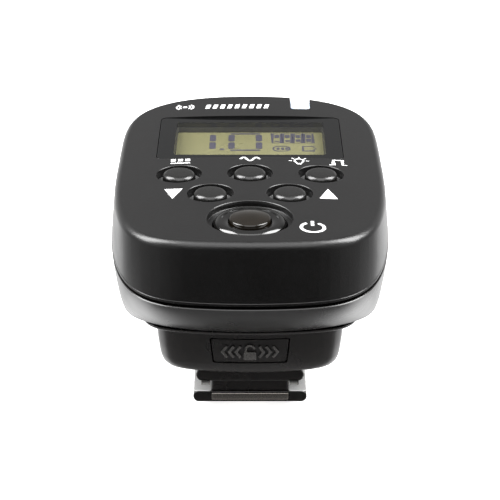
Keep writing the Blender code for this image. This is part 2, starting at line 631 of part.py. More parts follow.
def make_foot():
    half_x, half_y = COLLAR_SIZE[0] / 2, COLLAR_SIZE[1] / 2
    low, high = (-half_x, -half_y, COLLAR_Z[0]), (half_x, half_y, COLLAR_Z[1])
    collar = box("shoe_collar", low, high, "neck", corner=1.0, axis=1)
    foot_holes(collar, "collar", SCREW_HOLE_RADIUS, 5.3)

    half_x, half_y = FOOT_NECK_SIZE[0] / 2, FOOT_NECK_SIZE[1] / 2
    neck = box("foot_neck", (-half_x, -half_y, FOOT_NECK_Z[0]), (half_x, half_y, FOOT_NECK_Z[1]), "neck")
    foot_holes(neck, "foot_neck", SCREW_HOLE_RADIUS)

    half_x, half_y = FOOT_SIZE[0] / 2, FOOT_SIZE[1] / 2
    plate = box("foot_plate", (-half_x, -half_y, 0.0), (half_x, half_y, FOOT_SIZE[2]), "neck", corner=0.9)
    ground_x, ground_z = GROUND_PLATE_SIZE[0] / 2, GROUND_PLATE_SIZE[2]
    ground_far = GROUND_PLATE_SIZE[1] - half_y
    slot = (-ground_x - GAP, -half_y - 2.0, -1.0), (ground_x + GAP, ground_far + GAP, ground_z + GAP)
    boolean(plate, box("cut_ground_slot", *slot))
    foot_holes(plate, "foot_plate", SCREW_HOLE_RADIUS)

    ground = box(
        "foot_ground_plate", (-ground_x, -half_y, 0.0), (ground_x, ground_far, ground_z), "foot_metal", corner=0.3
    )
    foot_holes(ground, "ground", 1.9)

    profile = [(0.0, 10.5), (0.85, 10.1), (0.85, 1.05), (1.6, 0.9), (1.6, 0.1), (0.5, 0.1), (0.35, 0.5), (0.0, 0.5)]
    for i, xy in enumerate(FOOT_SCREWS):
        turned(f"foot_screw_{i + 1}", profile, (*xy, 0.0), "steel", 10)


def make_ground_springs():
    """Two bowed leaves under the collar that press on the rails of the shoe."""
    upper = [(-10.4, 4.1), (-8.6, 4.1), (-4.0, 3.6), (2.0, 3.6), (6.6, 4.1), (8.6, 4.1)]
    leaf = upper + [(y, z - 0.25) for y, z in reversed(upper)]
    for name, low, high in (("ground_spring_left", -7.9, -6.5), ("ground_spring_right", 6.5, 7.9)):
        prism(name, leaf, 0, low, high, "steel")


# ---- the whole object ----------------------------------------------------------------------------

clear_scene()
PARTS = new_collection("flash_trigger")
CUTTERS = new_collection("cutters")
MATERIALS = make_materials()

make_top_shell()
make_bottom_shell()
make_battery_door()
make_case_screws()
make_display()
make_board()
make_light_pipe()
make_buttons()
make_power_button()
make_cells()
make_neck_housing()
make_unlock_button()
make_lock_pin()
make_contact_pin()
make_shoe_cable()
make_neck_screws()
make_foot()
make_ground_springs()
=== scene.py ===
"""Looks of the wireless flash trigger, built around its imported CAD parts.

Sizes are in millimetres, apart from the lights', which are in metres. +Z is up, +X is the user's right
and +Y points away from the user. The origin is on the underside of the foot, in its middle.
"""

import math

import bmesh
import bpy
import numpy as np
from mathutils import Matrix, Vector


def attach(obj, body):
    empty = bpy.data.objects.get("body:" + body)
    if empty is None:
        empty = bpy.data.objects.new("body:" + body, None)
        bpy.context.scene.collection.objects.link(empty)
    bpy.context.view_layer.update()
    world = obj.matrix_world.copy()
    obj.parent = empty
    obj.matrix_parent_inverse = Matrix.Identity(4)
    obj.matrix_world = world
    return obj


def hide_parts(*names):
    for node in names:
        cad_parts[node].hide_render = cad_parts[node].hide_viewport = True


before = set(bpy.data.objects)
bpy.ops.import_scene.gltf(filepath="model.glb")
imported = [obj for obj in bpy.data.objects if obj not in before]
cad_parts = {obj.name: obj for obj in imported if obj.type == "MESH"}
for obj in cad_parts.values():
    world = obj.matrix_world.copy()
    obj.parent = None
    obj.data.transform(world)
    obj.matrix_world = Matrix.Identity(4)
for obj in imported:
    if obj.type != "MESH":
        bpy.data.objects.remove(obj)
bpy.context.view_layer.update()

MM = 0.001
SMOOTH_ANGLE = math.radians(28.0)

# Casing. An outline is half width, near end, far end, the two powers of its near half and its bow.
TOP_Z = 35.3
SEAM_Z = 25.0
FLOOR_Z = 16.6
CASING_MID_Y = 9.0
TOP_OUTLINE = (21.85, -25.3, 40.5, 6.4, 2.9, 0.100)
SEAM_OUTLINE = (22.95, -26.5, 40.8, 6.4, 2.0, 0.105)
FLOOR_OUTLINE = (20.6, -16.7, 33.0, 10.0, 8.0, 0.180)
FAR_POWERS = (2.5, 5.3)
OUTLINE_POINTS = 240
BOWL_POWER = 1.35
BOWL_STEPS = 22
SIDE_WALL = 1.5
TOP_WALL = 2.2
FLOOR_WALL = 1.3
TOP_EDGE = (0.95, 1.2)
TOP_RIM_Z = 25.5
RABBET = (0.9, 0.4)
CROWN_RISE = 0.12
CROWN_FALL = 0.40
CROWN_X = 15.5
CROWN_FROM_Z = 30.0
CASE_SCREWS = ((-18.8, -3.0), (18.8, -3.0), (-18.4, 22.0), (18.4, 22.0))
POST_RADIUS = 2.3
POST_Z = (16.9, 24.8)
RECESS_RADIUS = 1.8
RECESS_TOP_Z = 18.4
BEHIND_Y = 50.0

# Battery door. Its half widths are in the floor and above it.
DOOR_HALF_WIDTHS = (11.7, 13.4)
DOOR_STEP_Z = 18.5
DOOR_TOP_Z = 28.6
DOOR_NEAR_Y = 17.35
DOOR_GAP = 0.12
DOOR_SILL_Y = 17.2
DOORWAY_HALF_WIDTH = 13.6
DOORWAY_TOP_Z = 28.9
TONGUE_Y = (17.8, 25.5)
GRIP_GROOVES = 6
GRIP_PITCH = 1.3

# Display
WINDOW_HALVES = (15.55, 9.8)
WINDOW_XY = (0.0, 19.65)
WINDOW_Z = (34.15, 35.0)
WINDOW_CORNER = 1.0
VIEW_HALVES = (12.75, 7.7)
VIEW_XY = (0.0, 19.5)
LCD_TOP_Z = 33.2
LCD_MARK_Z = (LCD_TOP_Z - 0.01, LCD_TOP_Z + 0.03)

# Buttons
BUTTON_RADIUS = 2.67
BUTTON_TOP_Z = 35.6
BUTTONS = {
    "group_button": (-11.54, 2.85),
    "channel_button": (0.0, 2.85),
    "mode_button": (11.54, 2.85),
    "down_button": (-6.3, -5.5),
    "up_button": (6.3, -5.5),
}
BUTTON_SHOULDER = (0.78, 0.80)
BUTTON_FLANGE_RADIUS = 3.25
FLANGE_Z = (32.2, 32.8)
STALK_RADIUS = 1.0
STALK_LOW_Z = 31.9
WELL_RADIUS = 3.7
POWER_XY = (0.0, -15.5)
POWER_WELL_RADIUS = 6.65
POWER_RING_RADIUS = 5.62
POWER_CAP_RADIUS = 3.2
POWER_FLANGE_RADIUS = 6.4
POWER_TOP_Z = 35.72
POWER_STALK_LOW_Z = 31.96
LIGHT_PIPE_X = 9.0
LIGHT_PIPE_NEAR_Y = 33.4

# Neck and foot
NECK_OUTLINE = (15.3, -14.9, 14.3, 8.0, 8.0, 0.13)
NECK_Z = (6.8, 16.3)
NECK_WALL = 1.6
NECK_FLOOR_Z = 9.5
NECK_FLANGE = 0.55
UNLOCK_Z = (9.7, 13.9)
UNLOCK_HALF_WIDTHS = (5.75, 6.2)
COLLAR_SIZE = (17.5, 22.0)
COLLAR_Z = (4.4, 6.5)
FOOT_NECK_SIZE = (12.4, 19.4)
FOOT_NECK_Z = (2.3, 4.1)
FOOT_SIZE = (18.6, 20.0, 2.0)
GROUND_PLATE_SIZE = (12.6, 19.0, 1.25)
GROUND_TAB_Z = (0.42, 1.72)
LEAF_THICK = 0.25
LEAF_X = (6.5, 7.9)
FOOT_SCREWS = ((-4.1, -6.5), (4.1, -6.5), (-4.1, 6.5), (4.1, 6.5))
CONTACT_Y = 2.6
CONTACT_RADIUS = 0.9
LOCK_Y = 7.4
LOCK_RADIUS = 1.0

# Cells
CELL_RADIUS = 5.2
CELL_X = 5.45
CELL_Z = 23.4
CELL_Y = (-12.3, 32.2)
CELL_STOP_Y = -14.5

# Camera and floor. The floor is just below the lock pin's tip.
CAMERA_LENS = 126.43
CAMERA_PLACE = (0.0, -262.1, 142.3)
CAMERA_TILT = math.radians(65.5)
STAND_Z = -1.36
STAND_RADIUS = 4000.0
WHITE = (1.0, 1.0, 1.0, 1.0)


# ---- materials --------


def feed(tree, node, inputs):
    """Set a node's inputs, each to a value or to the socket that feeds it."""
    for key, value in inputs.items():
        if isinstance(value, bpy.types.NodeSocket):
            tree.links.new(value, node.inputs[key])
        else:
            node.inputs[key].default_value = value


def add_node(tree, kind, inputs=None, **settings):
    made = tree.nodes.new(kind)
    for key, value in settings.items():
        setattr(made, key, value)
    feed(tree, made, inputs or {})
    return made


def ramp(tree, factor, stops):
    """A colour ramp over a factor, from (position, colour or grey) stops."""
    made = add_node(tree, "ShaderNodeValToRGB", {"Fac": factor})
    elements = made.color_ramp.elements
    while len(elements) < len(stops):
        elements.new(0.5)
    for element, (position, colour) in zip(elements, stops):
        element.position = position
        element.color = (colour, colour, colour, 1.0) if isinstance(colour, float) else (*colour, 1.0)
    return made.outputs["Color"]


def spread(tree, factor, low, high, start=0.0, end=1.0):
    """A factor between start and end spread from low to high, and held at both."""
    inputs = {"Value": factor, "From Min": start, "From Max": end, "To Min": low, "To Max": high}
    return add_node(tree, "ShaderNodeMapRange", inputs).outputs["Result"]


def noise(tree, size, detail=3.0, stretch=(1.0, 1.0, 1.0)):
    """Noise whose features are about size millimetres, fixed to the object."""
    place = add_node(tree, "ShaderNodeTexCoord").outputs["Object"]
    place = add_node(tree, "ShaderNodeMapping", {"Vector": place, "Scale": stretch}).outputs["Vector"]
    inputs = {"Vector": place, "Scale": 1.0 / (size * MM), "Detail": detail, "Roughness": 0.55}
    return add_node(tree, "ShaderNodeTexNoise", inputs).outputs["Fac"]


def mixed(tree, factor, first, second, blend="MIX"):
    """A mix of two colours or colour sockets."""
    made = add_node(tree, "ShaderNodeMix", data_type="RGBA", blend_type=blend)
    feed(tree, made, {0: factor, 6: first, 7: second})
    return made.outputs[2]


def shaded(colour, factor):
    return tuple(channel * factor for channel in colour)


def new_material(name):
    made = bpy.data.materials.new(name)
    made.use_nodes = True
    return made, made.node_tree, made.node_tree.nodes["Principled BSDF"]


def surface(name, colour, roughness, grain, depth, contrast, metallic=0.0):
    """A moulded or rolled surface: fine grain in colour and relief, and broad variation in gloss."""
    made, tree, shader = new_material(name)
    fine = noise(tree, grain, 3.0, STRETCH.get(name, (1.0, 1.0, 1.0)))
    broad = noise(tree, 7.0, 2.0)
    stops = [(0.30, shaded(colour, 1.0 - contrast)), (0.70, shaded(colour, 1.0 + contrast))]
    change = 0.03 if name in GLOSSY else 0.06
    bump = add_node(tree, "ShaderNodeBump", {"Height": fine, "Distance": depth * MM})
    feed(tree, shader, {
        "Base Color": ramp(tree, fine, stops),
        "Roughness": spread(tree, broad, roughness - change, roughness + change),
        "Normal": bump.outputs["Normal"],
        "Metallic": metallic,
        "Specular IOR Level": SPECULAR.get(name, 0.5),
    })
    return made


def pane_glass(name):
    """Clear thin glass: mostly see-through, with a mirror's share that grows at grazing angles."""
    made, tree, shader = new_material(name)
    tree.nodes.remove(shader)
    smear = noise(tree, 9.0, 2.0)
    clear_tint = ramp(tree, smear, [(0.3, (0.90, 0.90, 0.88)), (0.7, (0.94, 0.94, 0.93))])
    clear = add_node(tree, "ShaderNodeBsdfTransparent", {"Color": clear_tint})
    mirror_rough = spread(tree, smear, 0.03, 0.08)
    mirror = add_node(tree, "ShaderNodeBsdfAnisotropic", {"Roughness": mirror_rough})
    share = add_node(tree, "ShaderNodeFresnel", {"IOR": 1.49}).outputs["Fac"]
    inside = add_node(tree, "ShaderNodeNewGeometry").outputs["Backfacing"]
    outside = spread(tree, inside, 1.0, 0.0)
    share = add_node(tree, "ShaderNodeMath", {0: share, 1: outside}, operation="MULTIPLY").outputs["Value"]
    mix = add_node(tree, "ShaderNodeMixShader", {"Fac": share, 1: clear.outputs[0], 2: mirror.outputs[0]})
    feed(tree, tree.nodes["Material Output"], {"Surface": mix.outputs[0]})
    return made


def cell_wrap(name):
    """A cell's printed sleeve: dark, with one pale band across it."""
    made, tree, shader = new_material(name)
    place = add_node(tree, "ShaderNodeTexCoord").outputs["Object"]
    along = add_node(tree, "ShaderNodeSeparateXYZ", {"Vector": place}).outputs["Y"]
    share = spread(tree, along, 0.0, 1.0, CELL_Y[0] * MM, CELL_Y[1] * MM)
    grain = noise(tree, 0.4, 2.0)
    dark, pale = (0.020, 0.022, 0.026), (0.42, 0.40, 0.36)
    bands = ramp(tree, share, [(0.0, dark), (0.70, dark), (0.71, pale), (0.735, pale), (0.745, dark)])
    speck = ramp(tree, grain, [(0.3, 0.86), (0.7, 1.0)])
    feed(tree, shader, {
        "Base Color": mixed(tree, 1.0, bands, speck, "MULTIPLY"),
        "Roughness": spread(tree, grain, 0.22, 0.34),
        "Coat Weight": 0.3,
    })
    return made


def light_pipe_plastic(name):
    """Milky clear plastic with a cool tint."""
    made, tree, shader = new_material(name)
    cloud = noise(tree, 1.6, 3.0)
    tint = ramp(tree, cloud, [(0.3, (0.50, 0.59, 0.72)), (0.7, (0.62, 0.70, 0.82))])
    feed(tree, shader, {
        "Base Color": tint,
        "Roughness": spread(tree, cloud, 0.18, 0.30),
        "Subsurface Weight": 0.35,
        "Subsurface Radius": (1.0, 1.2, 1.5),
        "Subsurface Scale": 0.8 * MM,
        "Coat Weight": 0.4,
    })
    return made


# Each finish's colour, roughness, size and depth of grain, and contrast
PLASTICS = {
    "casing": ((0.0028, 0.0026, 0.0026), 0.33, 0.26, 0.018, 0.40),
    "casing_dark": ((0.0050, 0.0046, 0.0045), 0.28, 0.30, 0.003, 0.15),
    "neck": ((0.0058, 0.0046, 0.0042), 0.28, 0.35, 0.003, 0.15),
    "button": ((0.0060, 0.0057, 0.0054), 0.27, 0.26, 0.016, 0.30),
    # The release mark is moulded in the neck's black plastic; its lighter colour is a painted highlight on
    # the raised relief.
    "release_mark": ((0.0300, 0.0280, 0.0260), 0.20, 0.35, 0.003, 0.15),
    "gloss_black": ((0.0040, 0.0038, 0.0036), 0.14, 0.8, 0.001, 0.10),
    "smoke": ((0.0085, 0.0060, 0.0034), 0.12, 0.9, 0.001, 0.15),
    "window": ((0.0040, 0.0041, 0.0043), 0.08, 1.2, 0.0006, 0.08),
    "bezel": ((0.060, 0.060, 0.058), 0.45, 0.3, 0.004, 0.15),
    "lcd": ((0.250, 0.240, 0.125), 0.30, 0.9, 0.001, 0.04),
    "lcd_ink": ((0.075, 0.072, 0.110), 0.35, 0.5, 0.001, 0.10),
    # White plastic for the inner parts; on the foot's rail strips the same white is a painted highlight.
    "white_plastic": ((0.86, 0.86, 0.85), 0.40, 0.4, 0.004, 0.04),
    "ink": ((0.86, 0.86, 0.86), 0.55, 0.15, 0.003, 0.05),
    "board": ((0.016, 0.105, 0.045), 0.40, 1.1, 0.020, 0.40),
    "chip": ((0.015, 0.015, 0.016), 0.45, 0.3, 0.006, 0.20),
}
METALS = {
    "steel": ((0.56, 0.55, 0.53), 0.26, 0.35, 0.002, 0.10),
    "foot_metal": ((0.520, 0.485, 0.445), 0.32, 0.20, 0.004, 0.30),
    "brass": ((0.70, 0.51, 0.24), 0.26, 0.35, 0.002, 0.12),
}
SPECULAR = {"casing": 0.8, "casing_dark": 0.8, "neck": 0.7, "button": 0.9, "release_mark": 1.0,
            "gloss_black": 1.0, "smoke": 0.7}
GLOSSY = ("gloss_black", "smoke", "window")
STRETCH = {"foot_metal": (1.0, 0.06, 1.0)}


def make_materials():
    made = {name: surface(name, *look) for name, look in PLASTICS.items()}
    made |= {name: surface(name, *look, metallic=1.0) for name, look in METALS.items()}
    for name, make in (("pane", pane_glass), ("light_pipe", light_pipe_plastic), ("cell", cell_wrap)):
        made[name] = make(name)
    return made


# ---- making pieces --------


def to_mesh(name, shape):
    """A mesh in metres from a bmesh in millimetres."""
    bmesh.ops.recalc_face_normals(shape, faces=shape.faces)
    shape.transform(Matrix.Scale(MM, 4))
    mesh = bpy.data.meshes.new(name)
    shape.to_mesh(mesh)
    shape.free()
    return mesh


def placed(name, data):
    """A new object in the scene."""
    made = bpy.data.objects.new(name, data)
    bpy.context.scene.collection.objects.link(made)
    return made


def carve(shape, cutter, operation="DIFFERENCE"):
    """The first solid cut by, joined to or kept inside the second. Both are used up."""
    pair = [placed(name, to_mesh(name, solid)) for name, solid in (("carved", shape), ("cutter", cutter))]
    modifier = pair[0].modifiers.new("carve", "BOOLEAN")
    modifier.operation = operation
    modifier.solver = "EXACT"
    modifier.object = pair[1]
    result = bmesh.new()
    result.from_object(pair[0], bpy.context.evaluated_depsgraph_get())
    for thing in pair:
        mesh = thing.data
        bpy.data.objects.remove(thing)
        bpy.data.meshes.remove(mesh)
    result.transform(Matrix.Scale(1.0 / MM, 4))
    return result


def joined(shapes):
    """Several solids in one bmesh."""
    whole = bmesh.new()
    for shape in shapes:
        mesh = bpy.data.meshes.new("joined")
        shape.to_mesh(mesh)
        shape.free()
        whole.from_mesh(mesh)
        bpy.data.meshes.remove(mesh)
    return whole


def piece(name, shape, finish, replaced=(), body="root"):
    """A finished piece that stands for CAD nodes, rides on a body and takes its finish's material."""
    mesh = to_mesh(name, shape)
    mesh.materials.append(MATERIALS[finish])
    mesh.shade_smooth()
    mesh.set_sharp_from_angle(angle=SMOOTH_ANGLE)
    made = placed(name, mesh)
    weighted = made.modifiers.new("even_shading", "WEIGHTED_NORMAL")
    weighted.keep_sharp = True
    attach(made, body)
    if replaced:
        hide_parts(*replaced)
    return made


# ---- solids --------


def loft(rings, closed=False):
    """One skin over a run of rings of equal length, capped at both ends or closed on itself."""
    shape = bmesh.new()
    rows = [[shape.verts.new(point) for point in ring] for ring in rings]
    if closed:
        rows.append(rows[0])
    for lower, upper in zip(rows, rows[1:]):
        for i in range(len(lower)):
            j = (i + 1) % len(lower)
            shape.faces.new((lower[i], lower[j], upper[j], upper[i]))
    if not closed:
        shape.faces.new(list(reversed(rows[0])))
        shape.faces.new(rows[-1])
    return shape


def lathe(profile, xy=(0.0, 0.0), steps=72):
    """A solid turned about Z. Its profile of (radius, height) runs pole to pole, or closes on itself."""
    shape = bmesh.new()
    closed = profile[0] == profile[-1]
    rows = []
    for radius, z in profile[:-1] if closed else profile:
        row = []
        for i in range(steps if radius > 0.0 else 1):
            angle = math.tau * i / steps
            x, y = xy[0] + radius * math.cos(angle), xy[1] + radius * math.sin(angle)
            row.append(shape.verts.new((x, y, z)))
        rows.append(row)
    if closed:
        rows.append(rows[0])
    for upper, lower in zip(rows, rows[1:]):
        for i in range(steps):
            j = (i + 1) % steps
            corners = [upper[i % len(upper)], lower[i % len(lower)]]
            corners += [lower[j % len(lower)], upper[j % len(upper)]]
            shape.faces.new(list(dict.fromkeys(corners)))
    return shape


def cylinder(radius, low, high, xy, steps):
    return lathe([(0.0, high), (radius, high), (radius, low), (0.0, low)], xy, steps)


def arc(centre, radii, start, end, steps=6):
    """Points on an ellipse's arc between two angles in degrees."""
    points = []
    for i in range(steps + 1):
        angle = math.radians(start + (end - start) * i / steps)
        points.append((centre[0] + radii[0] * math.cos(angle), centre[1] + radii[1] * math.sin(angle)))
    return points


def rounded_rectangle(half_x, half_y, corner, steps=6):
    """Points anticlockwise round a rectangle with round corners."""
    points = []
    for i, (side_x, side_y) in enumerate(((1, 1), (-1, 1), (-1, -1), (1, -1))):
        centre = (side_x * (half_x - corner), side_y * (half_y - corner))
        points += arc(centre, (corner, corner), 90.0 * i, 90.0 * (i + 1), steps)
    return points


def edge_levels(low, high, edge):
    """Heights and insets of a plate whose lower and upper edges are rounded."""
    lower = [(low + edge + z, edge - x) for x, z in arc((0.0, 0.0), (edge, edge), -90.0, 0.0, 4)]
    upper = [(high - edge + z, edge - x) for x, z in arc((0.0, 0.0), (edge, edge), 0.0, 90.0, 4)]
    return lower + upper


def plate(half_x, half_y, low, high, corner, edge, centre=(0.0, 0.0), steps=6):
    """A flat block with round corners and softened edges."""
    rings = []
    for z, inset in edge_levels(low, high, edge):
        ring = rounded_rectangle(half_x - inset, half_y - inset, max(corner - inset, 0.02), steps)
        rings.append([(centre[0] + x, centre[1] + y, z) for x, y in ring])
    return loft(rings)


def turned_y(shape):
    """The same solid with its Z axis laid along Y."""
    shape.transform(Matrix(((1, 0, 0, 0), (0, 0, 1, 0), (0, 1, 0, 0), (0, 0, 0, 1))))
    bmesh.ops.reverse_faces(shape, faces=shape.faces)
    return shape


def block(points, low, high):
    """A flat outline extended between two heights."""
    return loft([[(x, y, z) for x, y in points] for z in (low, high)])


def ribbon(points, width, low, high, closed=False):
    """A line of constant width through points, extended between two heights."""
    count = len(points)
    rows = []
    for i, (x, y) in enumerate(points):
        before = points[(i - 1) % count] if closed or i else points[0]
        after = points[(i + 1) % count] if closed or i < count - 1 else points[-1]
        along = Vector((after[0] - before[0], after[1] - before[1])).normalized()
        side = Vector((-along.y, along.x)) * width / 2
        leg = Vector((x - before[0], y - before[1]))
        if leg.length > 0.0:
            side /= max(abs(along.dot(leg.normalized())), 0.5)
        left, right = (x + side.x, y + side.y), (x - side.x, y - side.y)
        rows.append([(*left, low), (*right, low), (*right, high), (*left, high)])
    return loft(rows, closed)


# ---- outlines --------


def quadrant(power_x, power_y, bow, samples=160):
    """A quarter of a rounded outline of unit size, from the side to the end."""
    share = np.linspace(1.0, 0.0, samples)
    total = share**power_x + (1.0 - share) ** power_y
    across = share / total ** (1.0 / power_x)
    along = (1.0 - share) / total ** (1.0 / power_y)
    return across, along * (1.0 - bow * across**2)


def outline(shape, mid_y, far_powers, inset=0.0):
    """Evenly spaced points around an outline, anticlockwise from above, moved inwards by inset."""
    half_width, near, far, power_x, power_y, bow = shape
    across = half_width - inset
    near_x, near_y = quadrant(power_x, power_y, bow)
    far_x, far_y = quadrant(*far_powers, 0.0)
    x = np.concatenate([near_x[::-1], far_x[1:]]) * across
    y = np.concatenate(
        [mid_y + near_y[::-1] * (near + inset - mid_y), mid_y + far_y[1:] * (far - inset - mid_y)]
    )
    length = np.concatenate([[0.0], np.cumsum(np.hypot(np.diff(x), np.diff(y)))])
    stops = np.linspace(0.0, length[-1], OUTLINE_POINTS // 2 + 1)
    right = list(zip(np.interp(stops, length, x), np.interp(stops, length, y)))
    return right + [(-px, py) for px, py in reversed(right[1:-1])]


def casing_ring(z, inset=0.0):
    """The casing's outline at a height, where the side leans out from the top down to the seam."""
    rise = (min(max(z, SEAM_Z), TOP_Z) - SEAM_Z) / (TOP_Z - SEAM_Z)
    shape = [seam + (top - seam) * rise for seam, top in zip(SEAM_OUTLINE, TOP_OUTLINE)]
    return [(x, y, z) for x, y in outline(shape, CASING_MID_Y, FAR_POWERS, inset)]


def bowl_rings(inset=0.0, floor=0.0):
    """The rings of the casing's bowl, from its floor up to the seam, where it draws in to the floor."""
    rim = outline(SEAM_OUTLINE, CASING_MID_Y, FAR_POWERS, inset)
    base = outline(FLOOR_OUTLINE, CASING_MID_Y, FAR_POWERS, inset)
    depth = SEAM_Z - FLOOR_Z - floor
    rings = []
    for i in range(BOWL_STEPS, -1, -1):
        angle = math.pi / 2 * i / BOWL_STEPS
        share = 1.0 - math.cos(angle) ** (2.0 / BOWL_POWER)
        z = SEAM_Z - depth * math.sin(angle) ** (2.0 / BOWL_POWER)
        rings.append([(a + (c - a) * share, b + (d - b) * share, z) for (a, b), (c, d) in zip(rim, base)])
    return rings


def neck_ring(z, inset):
    """The neck's outline at a height, moved inwards by inset."""
    return [(x, y, z) for x, y in outline(NECK_OUTLINE, 0.0, NECK_OUTLINE[3:5], inset)]


def crown(x):
    """How far the casing's top stands above or below its middle height, across its width."""
    return CROWN_RISE - CROWN_FALL * (x / CROWN_X) ** 2


def crowned(shape, strip=1.5):
    """The same solid with its upper part bent to the casing's crown, after it is cut into strips."""
    limit = int(TOP_OUTLINE[0] / strip)
    for i in range(-limit, limit + 1):
        everything = shape.verts[:] + shape.edges[:] + shape.faces[:]
        bmesh.ops.bisect_plane(shape, geom=everything, plane_co=(i * strip, 0, 0), plane_no=(1, 0, 0))
    for vert in shape.verts:
        share = (vert.co.z - CROWN_FROM_Z) / (TOP_Z - CROWN_FROM_Z)
        vert.co.z += crown(vert.co.x) * min(max(share, 0.0), 1.0)
    return shape


# ---- casing --------


def top_edge():
    """Heights and insets of the casing's rounded upper edge."""
    inset, drop = TOP_EDGE
    return [(TOP_Z - drop + z, inset - x) for x, z in arc((0.0, 0.0), (inset, drop), 0.0, 90.0, 9)]


def well_cutter(xy, radius, hole_radius, wall=1.5, slope=0.20, soft=0.18):
    """A button's well: a soft upper edge, an upright wall and a dish that falls to the hole."""
    wall_z = TOP_Z - wall
    profile = [(0.0, TOP_Z + 1.0), (radius + soft, TOP_Z + 1.0)]
    profile += [(radius + soft - x, TOP_Z - soft + z) for x, z in arc((0, 0), (soft, soft), 90.0, 0.0, 3)]
    profile += [(radius, wall_z), (radius - 0.05, wall_z - 0.04), (hole_radius + 0.08, wall_z - slope)]
    inside_z = TOP_Z - TOP_WALL - 1.0
    profile += [(hole_radius, wall_z - slope - 0.08), (hole_radius, inside_z), (0.0, inside_z)]
    return lathe(profile, xy, 96)


def make_casing_top():
    """The upper shell: a bead along its rim, the buttons' wells, the window's pocket and the view."""
    levels = [(TOP_Z - TOP_WALL, SIDE_WALL), (TOP_RIM_Z, SIDE_WALL), (TOP_RIM_Z, 0.10)]
    levels += [(TOP_RIM_Z + 0.05, 0.0), (TOP_RIM_Z + 0.40, -0.01), (TOP_RIM_Z + 0.46, 0.03)]
    levels += [(28.0, 0.0), (31.0, 0.0), (33.0, 0.0)]
    shell = loft([casing_ring(z, inset) for z, inset in levels + top_edge()])
    cutters = [well_cutter(xy, WELL_RADIUS, BUTTON_RADIUS + 0.28) for xy in BUTTONS.values()]
    cutters.append(well_cutter(POWER_XY, POWER_WELL_RADIUS, POWER_RING_RADIUS + 0.16, 1.0, 0.16, 0.20))
    shell = carve(shell, joined(cutters))
    half_x, half_y = (half + 0.1 for half in WINDOW_HALVES)
    pocket = plate(half_x, half_y, WINDOW_Z[0] - 0.3, 37.0, WINDOW_CORNER + 0.1, 0.05, WINDOW_XY)
    view = plate(*VIEW_HALVES, 31.0, 34.5, 0.3, 0.05, VIEW_XY)
    shell = carve(carve(shell, pocket), view)
    place = (LIGHT_PIPE_X, LIGHT_PIPE_NEAR_Y - 0.08 + 6.0)
    notch = plate(1.78, 6.0, 30.5, 38.0, 0.8, 0.05, place)
    doorway = plate(DOORWAY_HALF_WIDTH, 8.0, 20.0, DOORWAY_TOP_Z, 0.5, 0.2, (0.0, 38.0))
    shell = carve(carve(shell, notch), doorway)
    piece("casing_top", crowned(shell), "casing", ["top_shell"])


def make_casing_bottom():
    """The lower shell: a bowl with a rabbet at its rim, screw posts, and a stop and rails for the cells."""
    inwards, up = RABBET
    rim = [(SEAM_Z, 0.10), (SEAM_Z, inwards), (SEAM_Z + up, inwards), (SEAM_Z + up, SIDE_WALL)]
    outer = bowl_rings()
    outer[-1] = casing_ring(SEAM_Z - 0.10)
    rings = outer + [casing_ring(z, inset) for z, inset in rim] + bowl_rings(SIDE_WALL, FLOOR_WALL)[::-1]
    recess = [(0.0, RECESS_TOP_Z), (RECESS_RADIUS, RECESS_TOP_Z), (RECESS_RADIUS, 16.75)]
    recess += [(RECESS_RADIUS + 0.15, 16.5), (RECESS_RADIUS + 0.15, 12.0), (0.0, 12.0)]
    posts = joined([cylinder(POST_RADIUS, *POST_Z, xy, 48) for xy in CASE_SCREWS])
    shell = carve(loft(rings), posts, "UNION")
    shell = carve(shell, joined([lathe(recess, xy, 48) for xy in CASE_SCREWS]))
    stop = plate(11.1, 0.5, 17.4, 27.6, 0.1, 0.05, (0.0, CELL_STOP_Y - 0.5))
    rails = [plate(0.4, 15.5, 17.4, 20.0, 0.1, 0.05, (side * 10.3, 0.5)) for side in (-1, 1)]
    shell = carve(carve(shell, stop, "UNION"), joined(rails), "UNION")
    shell = carve(shell, door_prism(DOOR_GAP, DOOR_SILL_Y))
    piece("casing_bottom", shell, "casing_dark", ["bottom_shell"])


def door_prism(gap, near):
    """The battery door's shape along Y: narrow through the floor, wider above it."""
    narrow, wide = (half_width + gap for half_width in DOOR_HALF_WIDTHS)
    step = DOOR_STEP_Z - gap
    right = [(narrow, 14.0), (narrow, step), (wide, step), (wide, DOOR_TOP_Z + gap)]
    section = right + [(-x, z) for x, z in reversed(right)]
    return loft([[(x, y, z) for x, z in section] for y in (near, BEHIND_Y)])


def make_battery_cover():
    """The battery door: a part of the casing's wall and floor, with two tongues and grip grooves."""
    rings = bowl_rings() + [casing_ring(DOOR_TOP_Z), casing_ring(DOOR_TOP_Z, SIDE_WALL)]
    door = loft(rings + bowl_rings(SIDE_WALL, FLOOR_WALL)[::-1])
    door = carve(door, door_prism(0.0, DOOR_NEAR_Y), "INTERSECT")
    section = [(10.7, 17.2), (11.5, 17.2), (11.5, 18.4), (13.1, 18.4), (13.1, 19.3), (10.7, 19.3)]
    tongues = [loft([[(side * x, y, z) for x, z in section] for y in TONGUE_Y]) for side in (-1, 1)]
    door = carve(door, joined(tongues), "UNION")
    grooves = []
    for i in range(GRIP_GROOVES):
        place = (0.0, 22.0 + GRIP_PITCH * i)
        grooves.append(plate(5.5 - 0.55 * i, 0.28, 16.2, 16.95, 0.27, 0.05, place))
    piece("battery_cover", carve(door, joined(grooves)), "casing_dark", ["battery_door"], "battery_door")


